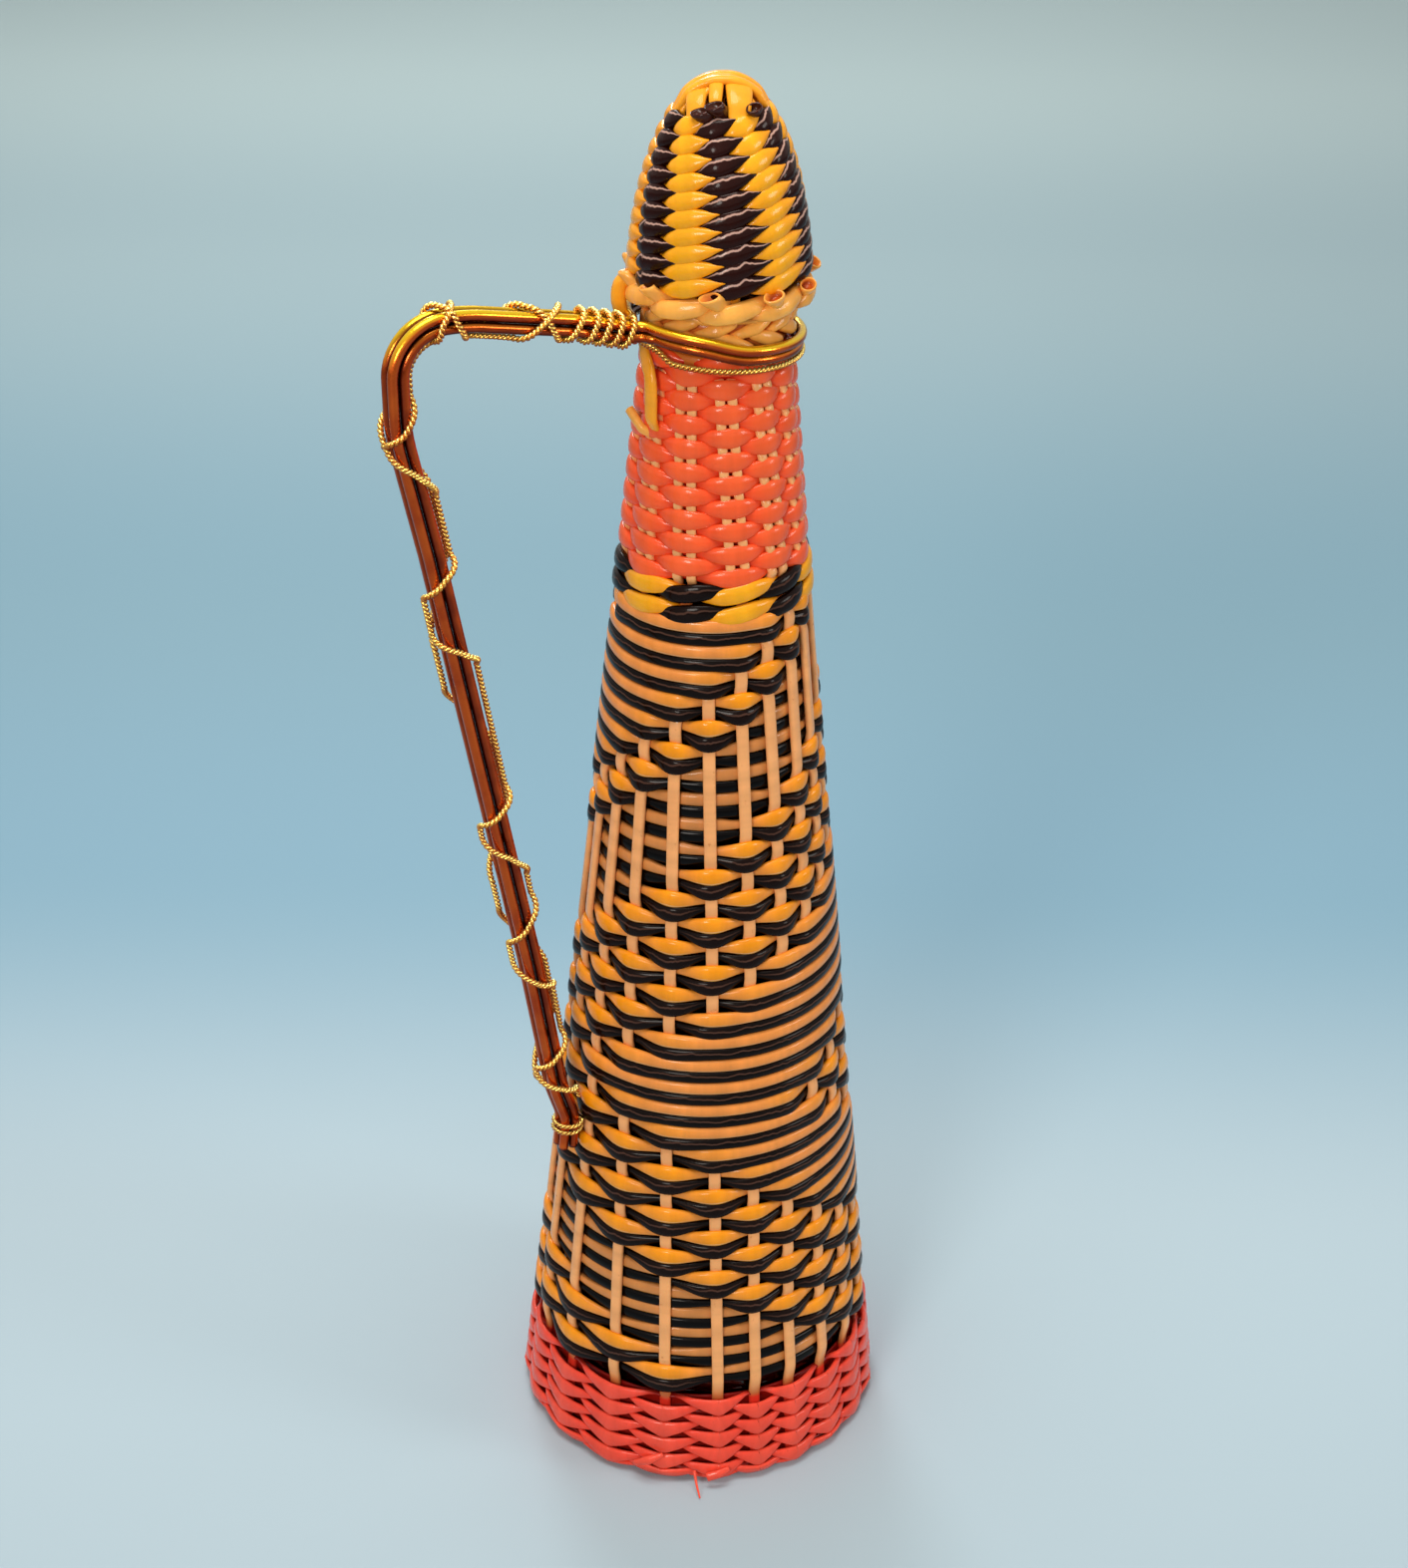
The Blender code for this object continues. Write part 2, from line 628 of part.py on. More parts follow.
def build_tether(material, parts):
    reach = tether_reach()
    hinge = hinge_point().z
    # Upper half, on the cap: out of the weave over the rim and down to the fold
    top = hinge + TETHER_LOOP_RISE
    weave = cap_radius(top - CAP_RIM_BOTTOM) + SEAT_GAP
    bend = TETHER_DIAMETER / 2
    loop = [(weave, top), (reach - bend / 2, top - bend / 4),
            (reach + TETHER_LOOP_BULGE, top - bend - bend / 4),
            (reach + TETHER_LOOP_BULGE, (top + hinge) / 2), (reach, hinge + bend),
            (reach, hinge + SEAT_GAP / 2)]
    loop_points = [polar(r, TETHER_DEGREES, z) for r, z in loop]
    upper = tube("tether_loop", loop_points, TETHER_DIAMETER / 2, 2, material, parts)
    # Lower half, on the bottle: outside the wire ring, then along the neck weave
    wire_edge = ring_radius() + RING_OFFSET + WIRE_DIAMETER / 2 + SEAT_GAP + TETHER_DIAMETER / 2
    ring_low = RING_HEIGHT - WIRE_SPACING
    end_height = RING_HEIGHT - TETHER_END_DROP
    rest_low = cover_radius(end_height) + SEAT_GAP + TETHER_DIAMETER / 2
    sweep = TETHER_END_DEGREES - TETHER_DEGREES
    fall = ring_low - end_height
    at_fold, at_upper, at_lower = TETHER_RING_SHARES
    lower = [
        (reach, 0.0, hinge - SEAT_GAP / 2),
        (wire_edge - SEAT_GAP, at_fold * sweep, hinge - TETHER_DIAMETER),
        (wire_edge, at_upper * sweep, RING_HEIGHT + WIRE_SPACING),
        (wire_edge, at_lower * sweep, RING_HEIGHT - WIRE_SPACING / 2),
    ]
    reaches = (wire_edge - TETHER_DIAMETER / 4, wire_edge - TETHER_DIAMETER / 2,
               rest_low, rest_low, rest_low)
    lower += [(r, sweep_share * sweep, ring_low - fall_share * fall)
              for r, (sweep_share, fall_share) in zip(reaches, TETHER_FALL_SHARES)]
    points = [polar(r, TETHER_DEGREES + turn, z) for r, turn, z in lower]
    tube("tether_anchor", points, TETHER_DIAMETER / 2, 2, material, parts)
    return upper


def build_cap(materials, parts):
    rim_low = CAP_RIM_BOTTOM
    rim_high = rim_low + CAP_RIM_HEIGHT
    round_edge = CAP_RIM_HEIGHT * CAP_RIM_ROUND_SHARE
    rim = [
        (CAP_RIM_INNER_RADIUS, rim_low + round_edge), (CAP_RIM_INNER_RADIUS, rim_high),
        (CAP_RADIUS - round_edge, rim_high), (CAP_RADIUS, rim_high - round_edge),
        (CAP_RADIUS, rim_low + round_edge), (CAP_RADIUS - round_edge, rim_low),
        (CAP_RIM_INNER_RADIUS + SEAT_GAP, rim_low),
    ]
    pieces = [turned("cap_rim", rim, CAP_STEPS, materials["cream"], parts, True)]
    weave_low = rim_high + SEAT_GAP
    weave_high = rim_low + CAP_HEIGHT - CROWN_HEIGHT
    profile = [(cap_radius(z - rim_low, WEAVER_THICKNESS), z)
               for z in spread(weave_low, weave_high, 5)]
    pitch = (weave_high - weave_low) / CAP_ROW_COUNT
    for row in range(CAP_ROW_COUNT):
        edge = weave_high - row * pitch
        middle = edge - pitch / 2
        profile.append((cap_radius(edge - rim_low, RIB_DEPTH), edge))
        profile.append((cap_radius(middle - rim_low), middle))
    profile.append((cap_radius(weave_low - rim_low, RIB_DEPTH), weave_low))
    pieces.append(turned("cap_weave", profile, CAP_STEPS, materials["striped"], parts, True))
    crown_low = weave_high + SEAT_GAP
    crown_top = rim_low + CAP_HEIGHT
    inner_top = crown_top - CROWN_THICKNESS
    inner = [(cap_radius(z - rim_low, CROWN_THICKNESS), z)
             for z in spread(crown_low, inner_top, 3)][::-1]
    outer = [(cap_radius(z - rim_low), z) for z in (
        crown_top + (crown_low - crown_top) * share for share in CROWN_RING_SHARES)]
    pieces.append(turned("cap_crown", outer + inner[::-1], CAP_STEPS, materials["cream"],
                         parts, False))
    stake_low = rim_high + SEAT_GAP
    stake_high = crown_low - 2 * SEAT_GAP
    levels = [(cap_radius(z - rim_low, STAKE_DEPTH), 0.0, z)
              for z in spread(stake_low, stake_high, 4)]
    for index in range(CAP_STAKE_COUNT):
        degrees = FIRST_STAKE_DEGREES + 360.0 * index / CAP_STAKE_COUNT
        pieces.append(flat_stake(f"cap_stake_{index + 1:02d}", levels, degrees,
                                 materials["stake"], parts))
    return pieces


def spread(low, high, count):
    return [low + (high - low) * step / count for step in range(count + 1)]


def build_cork(material, parts):
    low = MOUTH_TOP - CORK_INSERTED
    high = low + CORK_LENGTH
    radius = BORE_RADIUS - CORK_GAP
    profile = [
        (0.0, high - low), (radius - CORK_CHAMFER, high - low),
        (radius, high - low - CORK_CHAMFER), (radius, CORK_CHAMFER),
        (radius - CORK_CHAMFER, 0.0), (0.0, 0.0),
    ]
    cork = turned("cork_stopper", profile, CAP_STEPS, material, parts, False)
    cork.location.z = low
    return cork


def hang_on_hinge(pieces, parts):
    hinge = bpy.data.objects.new("cap_hinge", None)
    hinge.location = hinge_point()
    parts.objects.link(hinge)
    bpy.context.view_layer.update()
    for piece in pieces:
        piece.parent = hinge
        piece.matrix_parent_inverse = hinge.matrix_world.inverted()


def main():
    clear_scene()
    parts = make_collection("woven_bottle")
    materials = {
        "striped": make_material("yellow_and_black_tube", (0.85, 0.45, 0.06), 0.30),
        "yellow": make_material("yellow_tube", (0.95, 0.55, 0.05), 0.30),
        "neck": make_material("coral_tube", (0.95, 0.20, 0.10), 0.32),
        "base": make_material("red_coral_tube", (0.85, 0.09, 0.06), 0.32),
        "cream": make_material("cream_tube", (0.92, 0.66, 0.34), 0.34),
        "stake": make_material("peach_tube", (0.88, 0.55, 0.25), 0.34),
        "tether": make_material("orange_tube", (0.95, 0.42, 0.04), 0.30),
    }
    gold = make_material("gold_wire", (0.90, 0.50, 0.10), 0.18, metallic=1.0)
    lace = make_material("gold_lace", (0.90, 0.60, 0.20), 0.28, metallic=1.0)
    glass = make_material("bottle_glass", (0.20, 0.26, 0.10), 0.05, transmission=1.0)
    cork = make_material("cork", (0.52, 0.32, 0.17), 0.80)
    build_glass(glass, parts)
    build_base(materials["base"], parts)
    build_cover(materials, parts)
    build_stakes(materials["stake"], parts)
    build_handle(gold, lace, parts)
    cap_pieces = build_cap(materials, parts)
    cap_pieces.append(build_tether(materials["tether"], parts))
    hang_on_hinge(cap_pieces, parts)
    build_cork(cork, parts)


main()
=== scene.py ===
import math
import bpy
import numpy as np
from mathutils import Matrix, Vector


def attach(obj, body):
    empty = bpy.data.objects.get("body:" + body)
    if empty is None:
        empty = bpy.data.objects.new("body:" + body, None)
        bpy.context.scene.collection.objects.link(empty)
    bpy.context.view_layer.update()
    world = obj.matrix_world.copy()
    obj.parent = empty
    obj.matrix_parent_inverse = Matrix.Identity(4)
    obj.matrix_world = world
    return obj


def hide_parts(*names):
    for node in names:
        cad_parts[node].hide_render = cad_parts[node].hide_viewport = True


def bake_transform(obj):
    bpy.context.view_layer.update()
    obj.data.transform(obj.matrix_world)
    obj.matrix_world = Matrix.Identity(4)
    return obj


# Woven plastic bottle. Every tube of the cover is a surface carried along its own path
# over and under the stakes. Metres; +Z is up and the handle points to -X.
# Azimuths in the tables are degrees to the right of the camera's line, as the eye meets them.

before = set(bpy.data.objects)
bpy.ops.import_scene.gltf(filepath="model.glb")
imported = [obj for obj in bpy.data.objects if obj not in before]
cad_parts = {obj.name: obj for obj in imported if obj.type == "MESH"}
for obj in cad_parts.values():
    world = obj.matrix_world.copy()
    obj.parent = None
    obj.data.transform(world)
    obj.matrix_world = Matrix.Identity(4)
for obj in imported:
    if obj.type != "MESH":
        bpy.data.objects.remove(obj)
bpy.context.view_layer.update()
print("frame loaded", len(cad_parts), "nodes")


# objects and nodes

def addObject(name, data):
    thing = bpy.data.objects.new(name, data)
    bpy.context.scene.collection.objects.link(thing)
    return thing


def linear(screen):
    # Screen colour, 0 to 255, as the shader's numbers
    share = np.array(screen) / 255.0
    light = np.where(share <= 0.04045, share / 12.92, ((share + 0.055) / 1.055) ** 2.4)
    return (*light.tolist(), 1.0)


def feed(tree, node, inputs):
    # Links an input where its value is another node's output, and sets it otherwise
    for name, value in dict(inputs).items():
        if isinstance(value, bpy.types.NodeSocket):
            tree.links.new(value, node.inputs[name])
        else:
            node.inputs[name].default_value = value


def addNode(tree, kind, inputs=(), **settings):
    node = tree.nodes.new("ShaderNode" + kind)
    for name, value in settings.items():
        setattr(node, name, value)
    feed(tree, node, inputs)
    return node


def maths(tree, operation, *values, **settings):
    return addNode(tree, "Math", enumerate(values), operation=operation, **settings).outputs[0]


def remap(tree, value, low, high, toLow=0.0, toHigh=1.0, **settings):
    # Carries low..high over to toLow..toHigh and stops at both ends
    return addNode(tree, "MapRange", {"Value": value, "From Min": low, "From Max": high,
                                      "To Min": toLow, "To Max": toHigh}, **settings).outputs[0]


def noise(tree, place, scale, detail, roughness=0.5):
    return addNode(tree, "TexNoise", {"Vector": place, "Scale": scale, "Detail": detail,
                                      "Roughness": roughness}).outputs["Fac"]


def mixColours(tree, factor, first, second, mode="MIX"):
    return addNode(tree, "Mix", {0: factor, 6: first, 7: second}, data_type="RGBA",
                   blend_type=mode).outputs[2]


def relief(tree, height, strength, distance):
    return addNode(tree, "Bump", {"Height": height, "Strength": strength,
                                  "Distance": distance}).outputs["Normal"]


def newMaterial(name):
    material = bpy.data.materials.new(name)
    material.use_nodes = True
    tree = material.node_tree
    return material, tree, tree.nodes["Principled BSDF"], addNode(tree, "TexCoord").outputs


# camera and light

view = {
    "position": (-0.3198, -0.4924, 0.5062),
    "headingDegrees": 57.118,       # of the line of sight, from +X
    "pitchDegrees": 29.80,          # looking down
    "rollDegrees": 1.05,
    "lens": 68.66,
    "sensor": 36.0,
    "clipStart": 0.01,
}


def makeCamera():
    heading, pitch, roll = (math.radians(view[k]) for k in
                            ("headingDegrees", "pitchDegrees", "rollDegrees"))
    ahead = Vector((math.cos(heading) * math.cos(pitch), math.sin(heading) * math.cos(pitch),
                    -math.sin(pitch)))
    level = Vector((math.sin(heading), -math.cos(heading), 0.0))
    above = level.cross(ahead)
    right = level * math.cos(roll) + above * math.sin(roll)
    up = above * math.cos(roll) - level * math.sin(roll)
    data = bpy.data.cameras.new("photoCamera")
    data.lens, data.sensor_width, data.clip_start = view["lens"], view["sensor"], view["clipStart"]
    camera = addObject("photoCamera", data)
    turn = Matrix((right, up, -ahead)).transposed().to_4x4()
    camera.matrix_world = Matrix.Translation(view["position"]) @ turn
    bpy.context.scene.camera = camera


lamps = {
    # name: (place, aimed at, size, watts, colour)
    "overhead": ((-0.10, -0.05, 1.25), (0.0, 0.0, 0.15), 0.70, 9.8, (1.0, 0.94, 0.86)),
    "frontLeft": ((-1.05, -0.75, 0.75), (0.0, 0.0, 0.15), 0.45, 8.6, (1.0, 0.94, 0.86)),
    "rightSide": ((0.75, -0.85, 0.55), (0.0, 0.0, 0.15), 0.40, 3.7, (1.0, 0.96, 0.90)),
    "behind": ((0.35, 1.00, 0.90), (0.0, 0.0, 0.18), 0.40, 4.5, (1.0, 1.0, 1.0)),
    "backdrop": ((0.80, 1.15, 1.20), (0.95, 1.45, 0.0), 0.60, 3.5, (1.0, 1.0, 1.0)),
}


def makeLamps():
    for name, (place, target, size, watts, colour) in lamps.items():
        data = bpy.data.lights.new(name, "AREA")
        data.shape = "DISK"
        data.size, data.energy, data.color = size, watts, colour
        lamp = addObject(name, data)
        lamp.location = place
        lamp.rotation_euler = (Vector(target) - Vector(place)).to_track_quat("-Z", "Y").to_euler()


surround = {"colour": (1.0, 0.97, 0.93), "light": 0.16, "seen": 0.68}


def makeSurround():
    # World: a little even light, and a pale wall where the camera, metal or glass sees it
    world = bpy.data.worlds.new("surround")
    world.use_nodes = True
    bpy.context.scene.world = world
    tree = world.node_tree
    tree.nodes.clear()
    path = addNode(tree, "LightPath").outputs
    seen = path["Is Camera Ray"]
    for ray in ("Is Glossy Ray", "Is Transmission Ray"):
        seen = maths(tree, "MAXIMUM", seen, path[ray])
    strength = remap(tree, seen, 0.0, 1.0, surround["light"], surround["seen"])
    background = addNode(tree, "Background", {"Color": (*surround["colour"], 1.0),
                                              "Strength": strength})
    addNode(tree, "OutputWorld", {"Surface": background.outputs["Background"]})


makeCamera()
bpy.context.scene.view_settings.view_transform = "Standard"
makeLamps()
makeSurround()
print("camera and light ready")


# meshes from arrays

viewAzimuth = 237.0             # degrees from +X of picture azimuth 0
up = np.array([0.0, 0.0, 1.0])


def turned(azimuth):
    # Angle from +X of a picture azimuth
    return np.radians(viewAzimuth + azimuth)


def polar(radius, angle, height):
    # Points (radius*cos(angle), radius*sin(angle), height)
    return np.stack(np.broadcast_arrays(radius * np.cos(angle), radius * np.sin(angle), height),
                    -1)


def fullTurn(count):
    # Even angles once round
    return np.arange(count) * math.tau / count


def unit(arrows):
    return arrows / np.linalg.norm(arrows, axis=-1, keepdims=True)


def squareTo(ahead, out):
    # What is left of out without its part along ahead, made one long
    return unit(out - (out * ahead).sum(-1, keepdims=True) * ahead)


def aheadOf(path, closed=False):
    # Direction of each path at each of its points
    return unit(np.roll(path, -1, -2) - np.roll(path, 1, -2) if closed
                else np.gradient(path, axis=-2))


def runOf(path):
    # Distance along each path, up to each of its points
    steps = np.linalg.norm(np.diff(path, axis=-2), axis=-1)
    return np.insert(np.cumsum(steps, -1), 0, 0.0, -1)


def ease(share):
    # Half a cosine wave from 0 to 1
    return (1 - np.cos(np.pi * np.clip(share, 0.0, 1.0))) / 2


def rounded(line, soft, ends="edge"):
    # Running average of a line, weighed by a Hanning window over that many values
    weights = np.hanning(soft)
    padded = np.pad(line, soft, mode=ends)
    return np.convolve(padded, weights / weights.sum(), mode="same")[soft:-soft]


def smoothTable(x, values, soft):
    # Straight between a table's evenly spaced values, then rounded off
    return rounded(np.interp(x, np.linspace(0.0, 1.0, len(values)), values), soft)


def roundPower(value, power):
    # Keeps the sign and bends the size: 1 is a plain circle, below 1 a squarer section
    return np.sign(value) * np.abs(value) ** power


def tubeFaces(tubes, steps, around, closed):
    # Quads between the rings of each tube, and at an open end a fan round one more point
    index = np.arange(tubes * steps * around).reshape(tubes, steps, around)
    first, second = (index, np.roll(index, -1, 1)) if closed else (index[:, :-1], index[:, 1:])
    quads = np.stack([first, np.roll(first, -1, 2), np.roll(second, -1, 2), second], -1)
    faces = [quads.reshape(-1, 4)]
    if not closed:
        tips = index.size + np.arange(2 * tubes).reshape(2, tubes, 1)
        low, high = index[:, 0], index[:, -1]
        for tip, ring, following in ((tips[0], np.roll(low, -1, 1), low),
                                     (tips[1], high, np.roll(high, -1, 1))):
            fan = np.stack([np.broadcast_to(tip, ring.shape), ring, following], -1)
            faces.append(fan.reshape(-1, 3))
    return faces


def carryTube(path, out, width, depth, around=12, closed=False, squareness=0.8, bump=0.0,
              raised=None):
    # A section carried along each path: path + side*w/2*cos(a) + out*d/2*sin(a), where side
    # is square to the path and to out. path is (tubes, steps, 3); w and d vary along it.
    # Marks for the materials: bump and raised as given (raised is bump if left out), the
    # distance along the tube, and cos(a) as the place across it. The materials paint a
    # highlight on bump, shade where raised is low, and a highlight line across the tube.
    path = np.asarray(path, float)
    path = path.reshape(-1, *path.shape[-2:])
    tubes, steps = path.shape[:2]
    ahead = aheadOf(path, closed)
    out = squareTo(ahead, out)
    side = np.cross(out, ahead)
    angle = fullTurn(around)
    across, lift = (roundPower(wave(angle), squareness)[:, None] for wave in (np.cos, np.sin))
    wide, deep = (np.broadcast_to(size, (tubes, steps))[..., None, None] / 2
                  for size in (width, depth))
    points = (path[:, :, None] + side[:, :, None] * (wide * across)
              + out[:, :, None] * (deep * lift)).reshape(-1, 3)

    def spread(values):
        # One value for each step, over the points of its ring and the tube's ends
        values = np.broadcast_to(values, (tubes, steps))
        rings = np.repeat(values, around)
        return rings if closed else np.concatenate([rings, values[:, 0], values[:, -1]])

    edge = np.tile(np.cos(angle), tubes * steps)
    if not closed:
        points = np.concatenate([points, path[:, 0], path[:, -1]])
        edge = np.append(edge, np.zeros(2 * tubes))
    return {"points": points, "faces": tubeFaces(tubes, steps, around, closed),
            "marks": {"bump": spread(bump), "raised": spread(bump if raised is None else raised),
                      "along": spread(runOf(path)), "edge": edge}}


def joinParts(parts):
    starts = np.cumsum([0] + [len(part["points"]) for part in parts])
    return {"points": np.concatenate([part["points"] for part in parts]),
            "faces": [face + start for part, start in zip(parts, starts)
                      for face in part["faces"]],
            "marks": {name: np.concatenate([part["marks"][name] for part in parts])
                      for name in parts[0]["marks"]}}


def makePiece(name, part, material, body, replaces=()):
    # Puts the arrays into a mesh: points, faces of one size each, and the named marks
    mesh = bpy.data.meshes.new(name)
    points, faces = part["points"], part["faces"]
    mesh.vertices.add(len(points))
    mesh.vertices.foreach_set("co", points.astype(np.float32).ravel())
    corners = np.concatenate([face.ravel() for face in faces])
    sizes = np.concatenate([np.full(len(face), face.shape[1]) for face in faces])
    mesh.loops.add(len(corners))
    mesh.loops.foreach_set("vertex_index", corners.astype(np.int32))
    mesh.polygons.add(len(sizes))
    starts = np.concatenate([[0], np.cumsum(sizes)[:-1]]).astype(np.int32)
    mesh.polygons.foreach_set("loop_start", starts)
    mesh.update(calc_edges=True)
    mesh.shade_smooth()
    for mark, values in part["marks"].items():
        layer = mesh.attributes.new(mark, "FLOAT", "POINT")
        layer.data.foreach_set("value", values.astype(np.float32))
    mesh.materials.append(material)
    piece = addObject(name, mesh)
    if replaces:
        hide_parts(*replaces)
    if body:
        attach(piece, body)
    print(name, len(points), "points")
    return piece


# the shapes that carry the weave

cover = {
    "foot": 0.0441, "neck": 0.0168, "top": 0.2738,       # radii at the floor and at the top
    "corner": 0.0035, "end": 0.290,
    # samples of the underside, the corner and the wall, and the gaps before and after the corner
    "steps": (40, 24, 160), "gaps": (0.0005, 0.001),
}
coverSlope = (cover["foot"] - cover["neck"]) / cover["top"]


def coverRadius(z):
    return cover["foot"] - coverSlope * z


flatRadius = coverRadius(cover["corner"]) - cover["corner"]          # of the underside


def makeProfile(radii, heights):
    # A section line from its low end: distance t along it, radius, height and normal
    t = np.concatenate([[0.0], np.cumsum(np.hypot(np.diff(radii), np.diff(heights)))])
    slopeR, slopeZ = np.gradient(radii, t), np.gradient(heights, t)
    size = np.hypot(slopeR, slopeZ)
    return {"t": t, "r": radii, "z": heights, "nr": slopeZ / size, "nz": -slopeR / size}


def coverProfile():
    # From the middle of the underside, round the corner, then straight up the cone
    corner, (before, after) = cover["corner"], cover["gaps"]
    flatSteps, bendSteps, wallSteps = cover["steps"]
    lean = math.atan(coverSlope)
    bend = np.linspace(-math.pi / 2, lean, bendSteps)
    wallZ = np.linspace(corner * (1 + math.sin(lean)) + after, cover["end"], wallSteps)
    radii = np.concatenate([np.linspace(0.0, flatRadius - before, flatSteps),
                            flatRadius + corner * np.cos(bend), coverRadius(wallZ)])
    heights = np.concatenate([np.zeros(flatSteps), corner * (1 + np.sin(bend)), wallZ])
    return makeProfile(radii, heights)


cap = {"rim": 0.2880, "radius": 0.0193, "height": 0.0456, "power": 1.95, "columns": 12,
       "steps": 160}


def capProfile():
    # Pointed dome: r = R*sqrt(1 - (h/H)^power)
    h = cap["height"] * np.sin(np.linspace(0.0, math.pi / 2, cap["steps"]))
    radii = cap["radius"] * np.sqrt(np.clip(1 - (h / cap["height"]) ** cap["power"], 0, 1))
    return makeProfile(radii, cap["rim"] + h)


wall, dome = coverProfile(), capProfile()


def alongAt(profile, height, low=0.0):
    # Distance along a section line where it reaches a height
    keep = profile["z"] >= low
    return np.interp(height, profile["z"][keep], profile["t"][keep])


def wallAt(height):
    return alongAt(wall, height, 0.001)             # past the flat underside


def onShape(profile, t, azimuth, lift):
    # Point at distance t and picture azimuth, lifted off the shape, and its normal
    t, angle, lift = np.broadcast_arrays(t, turned(azimuth), lift)
    r, z, nr, nz = (np.interp(t, profile["t"], profile[k]) for k in ("r", "z", "nr", "nz"))
    return polar(r + lift * nr, angle, z + lift * nz), polar(nr, angle, nz)


def easedTable(x, knots, values):
    # Cosine steps between a table's values
    knots, values = np.asarray(knots, float), np.asarray(values, float)
    place = np.clip(np.searchsorted(knots, x, side="right") - 1, 0, len(knots) - 2)
    share = ease((x - knots[place]) / (knots[place + 1] - knots[place]))
    return values[place] * (1 - share) + values[place + 1] * share


# stakes: where they stand

stakes = {
    "count": 22,
    "width": 0.0028, "neckWidth": 0.0021, "thickness": 0.0015,
    "footShare": 0.45, "footFrom": 0.009, "footOver": 0.022,       # narrower under the base
    "depth": 0.0021,            # middle of the weave under the cover's outside
    # picture azimuths of the ten stakes in front, from the handle's far side to the right
    "levels": (0.010, 0.041, 0.100, 0.150, 0.205, 0.2225),
    "front": (
        (-71, -51, -30, -11, 7.5, 20.5, 34.0, 49.0, 64.5, 80),
        (-71, -52, -31, -12, 6.5, 20.0, 33.5, 48.5, 64.0, 80),
        (-70.6, -52.6, -33.6, -14.6, 4.4, 20.4, 35.9, 50.9, 65.9, 81.4),
        (-70, -53, -36, -16.5, 2.3, 20.0, 37.0, 53.0, 68.0, 83),
        (-70.7, -54.2, -37.7, -19.7, -1.5, 16.7, 33.3, 51.3, 67.3, 83.3),
        (-69.7, -53.7, -35.7, -18.7, 0.3, 18.3, 34.3, 52.3, 67.3, 83.3),
    ),
    "pairLevels": (0.2300, 0.2740),
    "pairs": ((-49, -18.3, 15.8, 44, 71), (-53, -24, 6, 36, 64)),
    "pairHalfGap": 4.6,
    "swing": 0.0007,            # in and out of the rows
    # sampled from height to height in so many steps, and last to a distance under the base
    "runs": ((0.2738, 0.2310, 110), (0.2308, 0.0262, 280)), "lastRun": (0.0260, 0.0105, 50),
    "bandHeight": 0.2229,       # inside the lower row of the band
    "gatherFrom": 0.2215, "gatherOver": 0.0085,     # where they come together in pairs
    "neckFrom": 0.2290, "neckOver": 0.0015,         # where the neck's weave takes over
}


def spreadRound(front, count):
    # The stakes that aren't seen stand evenly round the back
    front = np.asarray(front, float)
    back = np.linspace(front[-1], front[0] + 360.0, count - len(front) + 2)[1:-1]
    return np.concatenate([front, back])


def tableAzimuths(rows, levels, count, height):
    # (heights, count) azimuths between the rows of a table that stands for those levels
    table = np.stack([spreadRound(row, count) for row in rows])
    height = np.atleast_1d(height)
    return np.stack([np.interp(height, levels, table[:, k]) for k in range(count)], -1)


def stakeAzimuths(height):
    # In the body, from the stake behind the handle round to the right
    return tableAzimuths(stakes["front"], stakes["levels"], stakes["count"], height)


def pairAzimuths(height):
    # Of the pairs of stakes in the neck
    return tableAzimuths(stakes["pairs"], stakes["pairLevels"], stakes["count"] // 2, height)


def roundTheRow(u, azimuths):
    # Azimuth at place u counted in stakes, for one row's table of azimuths
    count = len(azimuths)
    whole = np.concatenate([azimuths, azimuths[:1] + 360.0])
    turns = np.floor(u / count)
    return np.interp(u - turns * count, np.arange(count + 1), whole) + 360.0 * turns


# body weave

body = {
    "rows": 34, "turnRow": 20,
    "topRow": 0.2190, "fall": 0.1892, "sag": 0.015,
    "tilt": 0.0005,
    # place of each tube in its row: in a float, over one stake, under beside an over
    "tubes": {"tan": (0.00145, 0.0014, 0.0010), "black": (-0.00145, -0.0023, -0.0010)},
    "width": 0.0030, "overWidth": 0.0040, "underWidth": 0.0019, "pinch": 0.10,
    "depth": 0.0019,
    "swing": 0.0010,
    "stepsPerStake": 12,
    # Over (O) or under (U) along the diagonals: they climb up to the turn row, then fall
    "upper": "UOOOOOOOUOUUUUUOUOUO",
    "lower": "UOUOUOUUUUUOUOUOOOOO",
    # pattern number of each stake: 20 to a turn, so two neighbours share one, twice, behind
    "places": (0, 1, 2, 3, 4, 5, 6, 7, 8, 9, 10, 11, 12, 13, 13, 14, 15, 16, 17, 17, 18, 19),
}


def bodyRowHeights():
    share = np.arange(body["rows"]) / (body["rows"] - 1)
    return body["topRow"] - body["fall"] * (share + body["sag"] * np.sin(np.pi * share ** 1.6))


def bodyStates():
    # (34, 22) table: 1 where the row passes over the stake, 0 where it passes under
    rows = np.arange(1, body["rows"] + 1)[:, None]
    place = np.array(body["places"])
    upper, lower = (np.array([c == "O" for c in body[k]], float) for k in ("upper", "lower"))
    return np.where(rows <= body["turnRow"], upper[(place + rows) % len(upper)],
                    lower[(rows - place) % len(lower)])


